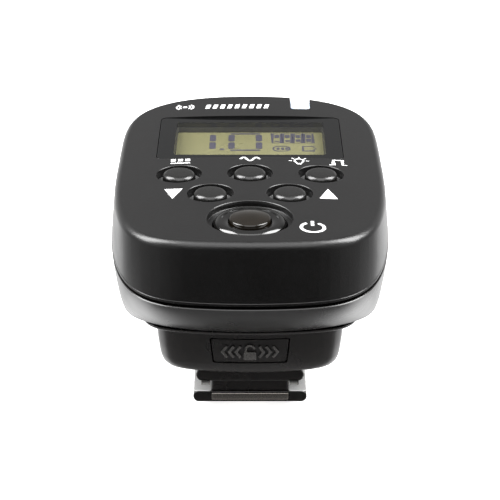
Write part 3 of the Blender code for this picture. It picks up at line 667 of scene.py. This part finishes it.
def screw_shape(xy, head_radius, head_low, head_high, shank_radius, shank_top):
    """A pan-head screw with a cross recess, head down."""
    edge = 0.25
    profile = [(0.0, shank_top), (shank_radius * 0.7, shank_top), (shank_radius, shank_top - 0.4)]
    profile += [(shank_radius, head_high), (head_radius, head_high)]
    corner = arc((0, 0), (edge, edge), 0.0, 90.0, 4)
    profile += [(head_radius - edge + x, head_low + edge - z) for x, z in corner]
    profile += [(0.0, head_low)]
    shape = lathe(profile, xy, 36)
    arm, width, depth = head_radius * 0.62, head_radius * 0.17, (head_high - head_low) * 0.62
    low = head_low - 0.5
    cross = [(width, arm), (-width, arm), (-width, width), (-arm, width), (-arm, -width), (-width, -width)]
    cross += [(-x, -y) for x, y in cross]
    recess = loft([[(xy[0] + x * s, xy[1] + y * s, z) for x, y in cross]
                   for z, s in ((low, 1.0), (head_low, 1.0), (head_low + depth, 0.55))])
    return carve(shape, recess)


def make_screws():
    """The screws that hold the casing's shells together and the foot to the neck."""
    for i, xy in enumerate(CASE_SCREWS):
        piece(f"casing_screw_{i + 1}", screw_shape(xy, 1.5, 17.2, 18.1, 0.9, 31.0), "steel",
              [f"case_screw_{i + 1}"])
    for i, xy in enumerate(FOOT_SCREWS):
        piece(f"shoe_screw_{i + 1}", screw_shape(xy, 1.6, 0.1, 0.9, 0.85, 10.5), "steel",
              [f"foot_screw_{i + 1}"])


# ---- display --------


def make_display():
    """The window with its clear view, and the bezel and the display below it."""
    cover = plate(*WINDOW_HALVES, *WINDOW_Z, WINDOW_CORNER, 0.10, WINDOW_XY, 8)
    view_x, view_y = VIEW_HALVES
    opening = plate(view_x, view_y, 33.0, 36.0, 0.35, 0.05, VIEW_XY)
    piece("display_cover", carve(cover, opening), "window", ["display_window"])
    pane_z = (WINDOW_Z[1] - 0.25, WINDOW_Z[1] - 0.004)
    pane = plate(view_x - 0.01, view_y - 0.01, *pane_z, 0.35, 0.01, VIEW_XY)
    piece("display_pane", pane, "pane")
    bezel_z = (LCD_TOP_Z + 0.02, WINDOW_Z[0] - 0.05)
    outer = plate(view_x + 0.6, view_y + 0.6, *bezel_z, 0.6, 0.05, VIEW_XY)
    inner = plate(view_x - 0.05, view_y - 0.05, 32.0, 36.0, 0.35, 0.05, VIEW_XY)
    piece("display_bezel", carve(outer, inner), "bezel")
    lcd = plate(view_x - 0.1, view_y - 0.1, LCD_TOP_Z - 1.3, LCD_TOP_Z, 0.3, 0.05, VIEW_XY)
    piece("lcd_glass", lcd, "lcd", ["lcd_panel"])
    make_lcd_marks()


def lcd_bar(x, y):
    """A segment of the display between two x and two y values, with cut corners."""
    cut = min(x[1] - x[0], y[1] - y[0]) * 0.22
    points = [(x[0] + cut, y[0]), (x[1] - cut, y[0]), (x[1], y[0] + cut), (x[1], y[1] - cut)]
    points += [(x[1] - cut, y[1]), (x[0] + cut, y[1]), (x[0], y[1] - cut), (x[0], y[0] + cut)]
    return block(points, *LCD_MARK_Z)


def lcd_line(points, width, closed=False):
    return ribbon(points, width, *LCD_MARK_Z, closed)


def make_lcd_marks():
    """The display's digits, a row of four small boxes, a pill and a cell."""
    halves = ((19.1, 22.2), (22.7, 25.8))
    marks = [lcd_bar(x, y) for x in ((-7.0, -5.9), (-3.75, -2.65), (1.0, 2.1)) for y in halves]
    marks.append(lcd_bar((-5.2, -4.4), (18.5, 19.2)))
    marks += [lcd_bar((-3.4, 1.75), y) for y in ((26.05, 26.60), (18.20, 18.75))]
    for i in range(4):
        left = 3.8 + 1.84 * i
        box = [(left + 0.1, 21.9), (left + 1.6, 21.9), (left + 1.6, 26.4), (left + 0.1, 26.4)]
        marks.append(lcd_line(box, 0.3, True))
        marks.append(lcd_bar((left + 0.45, left + 1.3), (24.3, 25.8)))
        marks.append(lcd_bar((left + 0.45, left + 1.3), (22.5, 22.9 + 0.35 * i)))
    pill = shifted(rounded_rectangle(1.4, 1.15, 1.0, 5), (5.4, 19.2))
    marks.append(lcd_line(pill, 0.28, True))
    marks += [lcd_bar((x, x + 0.5), (18.7, 19.7)) for x in (4.55, 5.35, 6.05)]
    cell = [(11.0, 18.9), (11.0, 18.1), (9.1, 18.1), (9.1, 20.3), (11.0, 20.3), (11.0, 19.5)]
    marks.append(lcd_line(cell, 0.28))
    marks.append(lcd_bar((11.15, 11.4), (18.9, 19.5)))
    piece("lcd_marks", joined(marks), "lcd_ink")


# ---- prints --------

PRINT_Z = (TOP_Z - 0.03, TOP_Z + 0.02)
DOWN_SIGN = (-12.2, -5.6)
UP_SIGN = (12.4, -5.6)
POWER_SIGN = (9.5, -19.0)
LAMP_SIGN = (8.1, 8.2)
SIGNAL_SIGN = (-11.6, 34.5)
SIGNAL_BARS = 9


def printed(name, shapes):
    """White ink on the casing's top, bent to its crown."""
    piece(name, crowned(joined(shapes), 1.0), "ink")


def shifted(points, centre):
    return [(centre[0] + x, centre[1] + y) for x, y in points]


def patch(points, centre=(0.0, 0.0)):
    return block(shifted(points, centre), *PRINT_Z)


def dot(centre, radius):
    steps = 20
    return patch(arc((0, 0), (radius, radius), 0.0, 360.0 - 360.0 / steps, steps - 1), centre)


def stroke(points, width, closed=False):
    return ribbon(points, width, *PRINT_Z, closed)


def make_arrows_and_power():
    """A triangle beside each of the down and up buttons, and a broken ring with a bar for power."""
    half, tall = 1.45, 2.0
    down = [(half, tall), (-half, tall), (0.0, -tall)]
    up = [(-half, -tall), (half, -tall), (0.0, tall)]
    printed("print_down", [patch(down, DOWN_SIGN)])
    printed("print_up", [patch(up, UP_SIGN)])
    ring = arc(POWER_SIGN, (1.75, 1.75), 120.0, 420.0, 28)
    bar = [(POWER_SIGN[0], -18.4), (POWER_SIGN[0], -16.6)]
    printed("print_power", [stroke(ring, 0.5), stroke(bar, 0.5)])


def make_lamp():
    """A bulb with five rays, over its base."""
    bulb = arc(LAMP_SIGN, (0.75, 0.85), -50.0, 230.0, 18)
    bulb += shifted([(-0.35, -1.15), (0.35, -1.15)], LAMP_SIGN)
    rays = []
    for angle in (0.0, 45.0, 90.0, 135.0, 180.0):
        turn = math.radians(angle)
        ray = [(math.cos(turn) * r, math.sin(turn) * r) for r in (1.15, 1.65)]
        rays.append(stroke(shifted(ray, LAMP_SIGN), 0.24))
    base = stroke(shifted([(-0.35, -1.4), (0.35, -1.4)], LAMP_SIGN), 0.25)
    printed("print_lamp", [stroke(bulb, 0.26, True), base, *rays])


def make_button_signs():
    """A pulse, three squares over a line for the group, and a wave for the channel."""
    pulse = [(13.1, 6.9), (13.8, 6.9), (13.8, 9.0), (15.3, 9.0), (15.3, 6.9), (16.0, 6.9)]
    printed("print_pulse", [stroke(pulse, 0.36)])
    group = [stroke([(x, 8.75), (x + 0.8, 8.75)], 1.0) for x in (-13.1, -11.9, -10.7)]
    group.append(stroke([(-13.1, 7.45), (-9.9, 7.45)], 0.4))
    printed("print_group", group)
    wave = [(-1.6 + 3.2 * i / 24, 8.75 + 0.75 * math.sin(math.tau * 1.5 * i / 24)) for i in range(25)]
    printed("print_channel", [stroke(wave, 0.36)])


def make_signal():
    """A dot with arcs on both sides, and a row of slanted bars."""
    shapes = [dot(SIGNAL_SIGN, 0.42)]
    for radius in (0.95, 1.5):
        for middle in (0.0, 180.0):
            bow = arc(SIGNAL_SIGN, (radius, radius), middle - 48.0, middle + 48.0, 12)
            shapes.append(stroke(bow, 0.3))
    for i in range(SIGNAL_BARS):
        left = -8.0 + 1.3 * i
        bar = [(left, 33.4), (left + 0.75, 33.4), (left + 1.05, 35.4), (left + 0.3, 35.4)]
        shapes.append(patch(bar))
    printed("print_signal", shapes)


# ---- buttons --------


def flange(button_radius, radius, inner_radius):
    """The profile of a button's flange, which keeps it in the casing, from its outside inwards."""
    low, high = FLANGE_Z
    return [(button_radius, high), (radius, high), (radius, low), (inner_radius, low)]


def make_buttons():
    """The five small buttons, each with a soft shoulder, a flange and a stalk over its switch."""
    for name, xy in BUTTONS.items():
        top = BUTTON_TOP_Z + crown(xy[0]) - 0.03
        flat = BUTTON_RADIUS - BUTTON_SHOULDER[0]
        profile = [(0.0, top), (flat * 0.5, top - 0.01), (flat * 0.93, top - 0.03)]
        shoulder = arc((0, 0), BUTTON_SHOULDER, 80.0, 0.0, 8)
        profile += [(flat + x, top - 0.03 - BUTTON_SHOULDER[1] + z) for x, z in shoulder]
        profile += flange(BUTTON_RADIUS, BUTTON_FLANGE_RADIUS, STALK_RADIUS)
        profile += [(STALK_RADIUS, STALK_LOW_Z), (0.0, STALK_LOW_Z)]
        piece(name.replace("button", "cap"), lathe(profile, xy, 72), "button", [name], name)


def make_power_ring():
    """The power button's ring: a shallow dish, a ridge and a round outer slope, over its flange."""
    inner, ridge, ring = POWER_CAP_RADIUS + 0.15, 4.45, POWER_RING_RADIUS
    rise = crown(0.0)
    dish = [(inner, 34.3), (inner, 34.55), (inner + 0.05, 34.66), (inner + 0.15, 34.72)]
    dish += [(3.9, 34.80), (4.25, 34.86), (4.38, 34.86), (ridge, 35.00)]
    profile = [(radius, z + rise) for radius, z in dish]
    profile += arc((ridge + 0.03, 34.20 + rise), (ring - ridge - 0.03, 0.82), 85.0, 0.0, 14)
    profile += flange(ring, POWER_FLANGE_RADIUS, 1.6) + [(1.6, 32.9), (inner, 32.9)]
    profile.append(profile[0])
    piece("power_ring", lathe(profile, POWER_XY, 96), "gloss_black", ["power_button_ring"], "power_button")


def make_power_cap():
    """The domed cap in the power button's middle, with its stalk."""
    fall, edge = 0.30, (0.32, 0.30)
    flat = POWER_CAP_RADIUS - edge[0]
    shares = (0.0, 0.2, 0.4, 0.55, 0.7, 0.8, 0.9, 1.0)
    profile = [(flat * share, POWER_TOP_Z - fall * share**2) for share in shares]
    rim = arc((0, 0), edge, 70.0, 0.0, 7)
    profile += [(flat + x, POWER_TOP_Z - fall - edge[1] + z) for x, z in rim]
    profile += [(POWER_CAP_RADIUS, 33.2), (STALK_RADIUS, 33.2)]
    profile += [(STALK_RADIUS, POWER_STALK_LOW_Z), (0.0, POWER_STALK_LOW_Z)]
    piece("power_cap", lathe(profile, POWER_XY, 96), "smoke", ["power_button_cap"], "power_button")


def make_light_pipe():
    """The status light's window in the casing's far rim, cut from the casing's own outline."""
    levels = [(31.3, 0.0), (33.0, 0.0)] + top_edge()
    pipe = loft([casing_ring(z, inset) for z, inset in levels])
    shape = plate(1.7, 6.0, 30.0, 38.0, 0.75, 0.05, (LIGHT_PIPE_X, LIGHT_PIPE_NEAR_Y + 6.0))
    pipe = crowned(carve(pipe, shape, "INTERSECT"))
    piece("light_pipe", pipe, "light_pipe", ["status_light_pipe"])


# ---- neck --------


def neck_levels():
    """Heights and insets of the neck's outside, from its rounded foot upwards."""
    low, high = NECK_Z
    foot = [(low, 3.6), (low + 0.10, 2.7), (low + 0.35, 1.9), (low + 0.72, 1.32), (low + 1.2, 0.95)]
    return foot + [(low + 1.8, 0.72), (low + 2.6, 0.56), (low + 5.0, 0.28), (high - 0.7, 0.0)]


def unlock_prism(grow, near, far):
    """The release button's block, wider at its top, with round corners, along Y."""
    (low, high), (narrow, wide) = UNLOCK_Z, UNLOCK_HALF_WIDTHS
    middle, half = (low + high) / 2, (high - low) / 2 + grow
    ring = rounded_rectangle(1.0, half, 0.35, 5)
    section = []
    for x, z in ring:
        reach = narrow + (wide - narrow) * (z + half) / (2 * half) + grow
        section.append((math.copysign(reach - 1.0, x) + x, middle + z))
    return loft([[(x, y, z) for x, z in section] for y in (near, far)])


def make_neck():
    """The neck under the casing, with a round-edged flange, and the liner behind the release button."""
    high, edge = NECK_Z[1], (NECK_FLANGE, NECK_FLANGE)
    rim = [(high - 0.1 - z, -1.5 - x) for x, z in arc((0.0, 0.0), edge, 90.0, 0.0, 6)]
    levels = neck_levels() + rim + [(high, -2.0), (high, NECK_WALL), (NECK_FLOOR_Z, NECK_WALL)]
    housing = loft([neck_ring(z, inset) for z, inset in levels])
    housing = carve(housing, unlock_prism(0.22, -18.0, -11.0))
    holes = [cylinder(1.2, 3.0, 12.0, xy, 32) for xy in FOOT_SCREWS]
    holes.append(cylinder(LOCK_RADIUS + 0.3, 3.0, 12.0, (0.0, LOCK_Y), 32))
    holes.append(cylinder(2.0, 3.0, 12.0, (0.0, CONTACT_Y), 40))
    piece("neck_body", carve(housing, joined(holes)), "neck", ["neck_housing"])
    liner = plate(6.6, 0.4, 9.2, 14.6, 0.2, 0.05, (0.0, -10.6))
    piece("neck_liner", liner, "neck")


def soften_edges(thing, width):
    """Round off a piece's sharp edges."""
    soften = thing.modifiers.new("soft_edges", "BEVEL")
    soften.width = width * MM
    soften.segments = 3
    soften.limit_method = "ANGLE"
    soften.angle_limit = math.radians(50.0)
    soften.harden_normals = True
    thing.modifiers.move(1, 0)


def make_release_button():
    """The release button: a face cut from the neck's, and two arms with slopes that lift the lock pin."""
    face = loft([neck_ring(z, inset + 0.05) for z, inset in neck_levels()])
    face = carve(face, unlock_prism(0.0, -18.0, -11.4), "INTERSECT")
    side_view = [(-12.2, 11.1), (9.4, 11.1), (9.4, 11.6), (5.3, 11.6), (3.7, 13.2), (-12.2, 13.2)]
    arms = [loft([[(side * x, y, z) for y, z in side_view] for x in (1.45, 2.6)]) for side in (-1, 1)]
    whole = carve(face, joined(arms), "UNION")
    soften_edges(piece("release_button", whole, "neck", ["unlock_button"], "unlock_button"), 0.16)
    make_release_mark()


def neck_face_y(z):
    """How far out the neck's near face stands at a height, on its middle line."""
    heights, insets = zip(*neck_levels())
    return NECK_OUTLINE[1] + float(np.interp(z, heights, insets))


def make_release_mark():
    """An open padlock between two sets of three chevrons, raised on the release button."""
    middle, sunk, raised = 11.75, 0.3, 0.34
    shapes = [plate(1.0, 0.75, 0.0, 1.0, 0.25, 0.05, (0.0, middle - 0.75))]
    shackle = [(-0.65, middle - 0.2)] + arc((0.0, middle + 0.55), (0.65, 0.65), 180.0, 0.0, 10)
    shapes.append(ribbon(shackle, 0.42, 0.0, 1.0))
    for side in (-1, 1):
        for x in (2.2, 3.3, 4.4):
            back = side * (x - 0.75)
            chevron = [(back, middle + 1.05), (side * x, middle), (back, middle - 1.05)]
            shapes.append(ribbon(chevron, 0.46, 0.0, 1.0))
    marks = joined(shapes)
    for vert in marks.verts:
        x, z, out = vert.co
        bow = NECK_OUTLINE[5] * abs(NECK_OUTLINE[1]) * (x / NECK_OUTLINE[0]) ** 2
        face = neck_face_y(z) + 0.05 + bow
        vert.co = (x, face + sunk - (sunk + raised) * out, z)
    # The marks' colour, lighter than the button's, is a painted highlight on their relief.
    soften_edges(piece("release_mark", marks, "release_mark", (), "unlock_button"), 0.10)


# ---- foot --------


def foot_holes(screw_radius):
    """Cutters for the screws, the contact pin and the lock pin."""
    holes = [(xy, screw_radius) for xy in FOOT_SCREWS]
    holes += [((0.0, CONTACT_Y), CONTACT_RADIUS + 0.3), ((0.0, LOCK_Y), LOCK_RADIUS + 0.3)]
    return joined([cylinder(radius, -2.0, 9.0, xy, 40) for xy, radius in holes])


def make_collar_and_stem():
    """The collar under the neck, and the stem that joins it to the foot."""
    half_x, half_y = COLLAR_SIZE[0] / 2, COLLAR_SIZE[1] / 2
    middle, half_z = sum(COLLAR_Z) / 2, (COLLAR_Z[1] - COLLAR_Z[0]) / 2
    collar = turned_y(plate(half_x, half_z, -half_y, half_y, 1.0, 0.3, (0.0, middle), 8))
    piece("collar", carve(collar, foot_holes(1.2)), "neck", ["shoe_collar"])

    half_x, half_y = FOOT_NECK_SIZE[0] / 2, FOOT_NECK_SIZE[1] / 2
    stem = plate(half_x, half_y, FOOT_NECK_Z[0] - 0.25, FOOT_NECK_Z[1] + 0.25, 0.3, 0.08)
    piece("foot_stem", carve(stem, foot_holes(1.2)), "neck", ["foot_neck"])


def make_foot():
    """The foot's base, the metal plate and tab in it, and pale strips on its rails whose white is a painted
    highlight for the glare off the rails' tops.
    """
    half_x, half_y, half_z = (size / 2 for size in FOOT_SIZE)
    base = turned_y(plate(half_x, half_z, -half_y, half_y, 0.92, 0.25, (0.0, half_z), 8))
    ground_x, ground_z = GROUND_PLATE_SIZE[0] / 2, GROUND_PLATE_SIZE[2]
    ground_near, ground_far = 0.45 - half_y, GROUND_PLATE_SIZE[1] - half_y
    middle, half_length = (ground_far + ground_near) / 2, (ground_far - ground_near) / 2
    slot = plate(ground_x + 0.1, half_length + 0.1, -1.0, ground_z + 0.1, 0.2, 0.05, (0.0, middle))
    low, high = GROUND_TAB_Z
    tab_back = 0.40 - half_y
    tab_slot = plate(ground_x + 0.03, 1.0, low - 0.03, high + 0.03, 0.15, 0.02, (0.0, tab_back - 1.0))
    base = carve(carve(base, joined([slot, tab_slot])), foot_holes(1.2))
    piece("foot_base", base, "neck", ["foot_plate"])

    metal = plate(ground_x, half_length, 0.0, ground_z, 0.3, 0.12, (0.0, middle))
    piece("ground_plate", carve(metal, foot_holes(1.9)), "foot_metal", ["foot_ground_plate"])
    tab = plate(ground_x, 0.27, low, high, 0.20, 0.22, (0.0, tab_back - 0.27))
    piece("ground_tab", tab, "foot_metal")
    # Pale strips on the rails' tops: their white is a painted highlight standing in for glare off the rails.
    stem_x, rail_z = FOOT_NECK_SIZE[0] / 2, (FOOT_SIZE[2] - 0.1, FOOT_SIZE[2] + 0.06)
    for name, side in (("left", -1), ("right", 1)):
        half_width, place = (half_x - stem_x) / 2 - 0.12, (side * (stem_x + half_x) / 2, 0.0)
        rail = plate(half_width, half_y - 0.15, *rail_z, 0.4, 0.04, place)
        piece(f"rail_strip_{name}", rail, "white_plastic")


def make_pins():
    """The lock pin and the centre contact, each with a head inside the neck and a round tip."""
    head = [(0.0, 12.6), (1.7, 12.6), (1.8, 12.5), (1.8, 12.0), (1.7, 11.9), (LOCK_RADIUS, 11.9)]
    tip = [(LOCK_RADIUS - 0.35 + x, -0.95 - z) for x, z in arc((0, 0), (0.35, 0.35), 0.0, 90.0, 5)]
    pin = lathe(head + tip + [(0.0, -1.3)], (0.0, LOCK_Y), 40)
    piece("locking_pin", pin, "steel", ["lock_pin"], "lock_pin")
    head = [(0.0, 6.9), (0.6, 6.9), (0.6, 6.3), (1.6, 6.3), (1.6, 5.6), (CONTACT_RADIUS, 5.6)]
    tip = [(CONTACT_RADIUS - 0.6 + x, -0.2 - z) for x, z in arc((0, 0), (0.6, 0.6), 0.0, 90.0, 6)]
    pin = lathe(head + tip + [(0.0, -0.8)], (0.0, CONTACT_Y), 40)
    piece("centre_contact", pin, "brass", ["contact_pin"], "contact_pin")


def make_ground_springs():
    """Two bowed leaves under the collar, curled up at their near ends, that press on the shoe's rails."""
    count = 24
    points = [(-11.32, 4.75), (-11.34, 4.45), (-11.30, 4.20), (-11.18, 4.03), (-10.98, 3.94), (-10.7, 3.92)]
    for i in range(count + 1):
        y = -10.4 + 19.0 * i / count
        points.append((y, 3.95 - 0.5 * math.exp(-((y + 1.0) / 4.4) ** 4)))
    near_x, far_x = LEAF_X
    for name, low, high in (("left", -far_x, -near_x), ("right", near_x, far_x)):
        leaf = ribbon(points, LEAF_THICK, low, high)
        for vert in leaf.verts:
            vert.co = (vert.co.z, vert.co.x, vert.co.y)
        piece(f"ground_leaf_{name}", leaf, "steel", [f"ground_spring_{name}"])


# ---- cells --------


def face_radius(face, x):
    """How far a face's middle is from the axis of the cell at x."""
    return math.hypot(face.center.x / MM - x, face.center.z / MM - CELL_Z)


def make_cells():
    """Two cells side by side, one turned about, with a printed sleeve and bare metal ends."""
    length, radius = CELL_Y[1] - CELL_Y[0], CELL_RADIUS
    profile = [(0.0, length), (2.3, length), (2.5, length - 0.12), (2.6, length - 0.3), (2.6, length - 1.0)]
    profile += [(radius - 0.6, length - 1.0), (radius - 0.2, length - 1.1), (radius, length - 1.4)]
    profile += [(radius, 0.4), (radius - 0.1, 0.1), (radius - 0.4, 0.0), (0.0, 0.0)]
    for name, x, turn in (("cell_left", -CELL_X, -1), ("cell_right", CELL_X, 1)):
        shape = lathe(profile, (0.0, 0.0), 64)
        start = CELL_Y[0] if turn < 0 else CELL_Y[1]
        turning = Matrix.Rotation(turn * math.pi / 2, 4, "X")
        shape.transform(Matrix.Translation((x, start, CELL_Z)) @ turning)
        made = piece(name.replace("cell", "battery"), shape, "cell", [name])
        made.data.materials.append(MATERIALS["steel"])
        for face in made.data.polygons:
            face.material_index = 1 if abs(face.normal.y) > 0.5 or face_radius(face, x) < 3.0 else 0


def finish_cad_nodes():
    """Procedural finishes for the CAD nodes that stay."""
    finishes = {
        "white_plastic": ["lcd_backlight", "lcd_frame", "status_led", "power_led"],
        "board": ["main_board", "contact_board"],
        "chip": ["controller_chip", "shoe_cable"],
        "brass": ["antenna"],
        "steel": ["radio_module", "door_contact", "battery_spring", "battery_plate", "unlock_spring",
                  "lock_pin_spring", "contact_spring", "neck_screw_1", "neck_screw_2", "power_switch"],
    }
    finishes["steel"] += [name.replace("button", "switch") for name in BUTTONS]
    for finish, names in finishes.items():
        for name in names:
            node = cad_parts[name]
            for slot in node.material_slots:
                slot.material = MATERIALS[finish]


# ---- stage --------


def make_camera():
    """A long lens in front of the object and above it."""
    camera = placed("camera", bpy.data.cameras.new("camera"))
    camera.data.lens = CAMERA_LENS
    camera.data.clip_start = 0.01
    camera.data.clip_end = 50.0
    camera.location = Vector(CAMERA_PLACE) * MM
    camera.rotation_euler = (CAMERA_TILT, 0.0, 0.0)
    bpy.context.scene.camera = camera


def make_floor():
    """A white floor that fades into the background."""
    made, tree, shader = new_material("floor")
    cloud = add_node(tree, "ShaderNodeTexNoise", {"Scale": 3.0, "Detail": 2.0}).outputs["Fac"]
    feed(tree, shader, {
        "Base Color": ramp(tree, cloud, [(0.0, 0.90), (1.0, 0.92)]),
        "Roughness": 0.9,
        "Specular IOR Level": 0.0,
        "Emission Color": WHITE,
        "Emission Strength": 0.80,
    })
    shape = bmesh.new()
    bmesh.ops.create_circle(shape, cap_ends=True, segments=96, radius=STAND_RADIUS)
    mesh = to_mesh("floor", shape)
    mesh.materials.append(made)
    floor = placed("floor", mesh)
    floor.location.z = STAND_Z * MM
    floor.visible_glossy = False


def soft_box(name, place, target, size, radiance):
    """An area light of a given radiance that shines at a target, all in metres."""
    light = bpy.data.lights.new(name, "AREA")
    light.shape = "RECTANGLE"
    light.size, light.size_y = size
    light.energy = radiance * math.pi * size[0] * size[1]
    made = placed(name, light)
    made.location = place
    made.rotation_euler = (Vector(target) - Vector(place)).to_track_quat("-Z", "Y").to_euler()


def make_lights():
    """A soft box overhead and one on each side."""
    target = (0.0, 0.0, 0.03)
    soft_box("top_box", (0.0, -0.25, 0.46), target, (0.44, 0.50), 1.8)
    for name, side in (("left_box", -1), ("right_box", 1)):
        soft_box(name, (side * 0.30, 0.02, 0.32), target, (0.26, 0.34), 11.0)


# Brightness of the studio against height, from straight down at 0 to straight up at 1
NEAR_LIGHT = [(0.0, 0.30), (0.05, 0.42), (0.125, 0.34), (0.20, 0.12), (0.33, 0.015), (0.50, 0.02),
              (0.70, 0.08), (0.85, 0.25), (1.0, 0.50)]
MIDDLE_LIGHT = [(0.0, 0.25), (0.04, 0.08), (0.20, 0.03), (0.33, 0.02), (0.50, 0.10), (0.70, 0.20),
                (1.0, 0.50)]
BASE_LIGHT = [(0.0, 0.40), (0.05, 1.30), (0.12, 2.3), (0.20, 2.1), (0.27, 0.40), (0.50, 0.25), (0.70, 0.15),
              (1.0, 0.50)]
CORNER_LIGHT = [(0.0, 0.42), (0.05, 0.45), (0.20, 0.28), (0.33, 0.22), (0.42, 0.24), (0.50, 0.45),
                (0.62, 0.60), (0.70, 0.15), (1.0, 0.50)]
FAR_LIGHT = [(0.0, 0.42), (0.05, 0.18), (0.12, 0.08), (0.20, 0.20), (0.27, 0.90), (0.36, 1.0), (0.46, 0.70),
             (0.56, 0.42), (0.66, 0.28), (0.80, 0.28), (1.0, 0.50)]
SIDE_LIGHT = [(0.0, 1.4), (0.10, 2.4), (0.30, 2.4), (0.45, 1.5), (0.52, 0.8), (0.60, 0.5), (0.735, 0.36),
              (1.0, 0.50)]
# Where a direction's Y fades from near to middle and from middle to far, and where its X fades to the sides
MIDDLE_Y = (-0.05, 0.25)
FAR_Y = (0.62, 0.92)
ASIDE_X = (0.06, 0.30)
CORNER_X = (0.40, 0.85)


def make_world():
    """White to the camera. For reflections, a studio that is dark in front and bright behind and aside."""
    world = bpy.data.worlds.new("studio")
    world.use_nodes = True
    bpy.context.scene.world = world
    tree = world.node_tree
    way = add_node(tree, "ShaderNodeTexCoord").outputs["Generated"]
    parts = add_node(tree, "ShaderNodeSeparateXYZ", {"Vector": way})
    height = spread(tree, parts.outputs["Z"], 0.0, 1.0, -1.0, 1.0)
    beyond = spread(tree, parts.outputs["Y"], 0.0, 1.0, *MIDDLE_Y)
    behind = spread(tree, parts.outputs["Y"], 0.0, 1.0, *FAR_Y)
    across = add_node(tree, "ShaderNodeMath", {0: parts.outputs["X"]}, operation="ABSOLUTE").outputs["Value"]
    aside = spread(tree, across, 0.0, 1.0, *ASIDE_X)
    cornerwise = spread(tree, across, 0.0, 1.0, *CORNER_X)
    near = mixed(tree, cornerwise, ramp(tree, height, NEAR_LIGHT), ramp(tree, height, CORNER_LIGHT))
    middle = mixed(tree, aside, ramp(tree, height, MIDDLE_LIGHT), ramp(tree, height, BASE_LIGHT))
    far = mixed(tree, aside, ramp(tree, height, FAR_LIGHT), ramp(tree, height, SIDE_LIGHT))
    studio = mixed(tree, behind, mixed(tree, beyond, near, middle), far)
    seen = add_node(tree, "ShaderNodeLightPath").outputs["Is Camera Ray"]
    feed(tree, tree.nodes["Background"], {"Color": mixed(tree, seen, studio, WHITE)})


# ---- the whole object --------

for thing in [o for o in bpy.data.objects if o.type in ("CAMERA", "LIGHT")]:
    bpy.data.objects.remove(thing)
make_camera()
MATERIALS = make_materials()
make_casing_top()
make_casing_bottom()
make_battery_cover()
make_screws()
make_display()
make_arrows_and_power()
make_lamp()
make_button_signs()
make_signal()
make_buttons()
make_power_ring()
make_power_cap()
make_light_pipe()
make_neck()
make_release_button()
make_collar_and_stem()
make_foot()
make_pins()
make_ground_springs()
make_cells()
finish_cad_nodes()
make_floor()
make_lights()
make_world()
bpy.context.scene.view_settings.view_transform = "Standard"
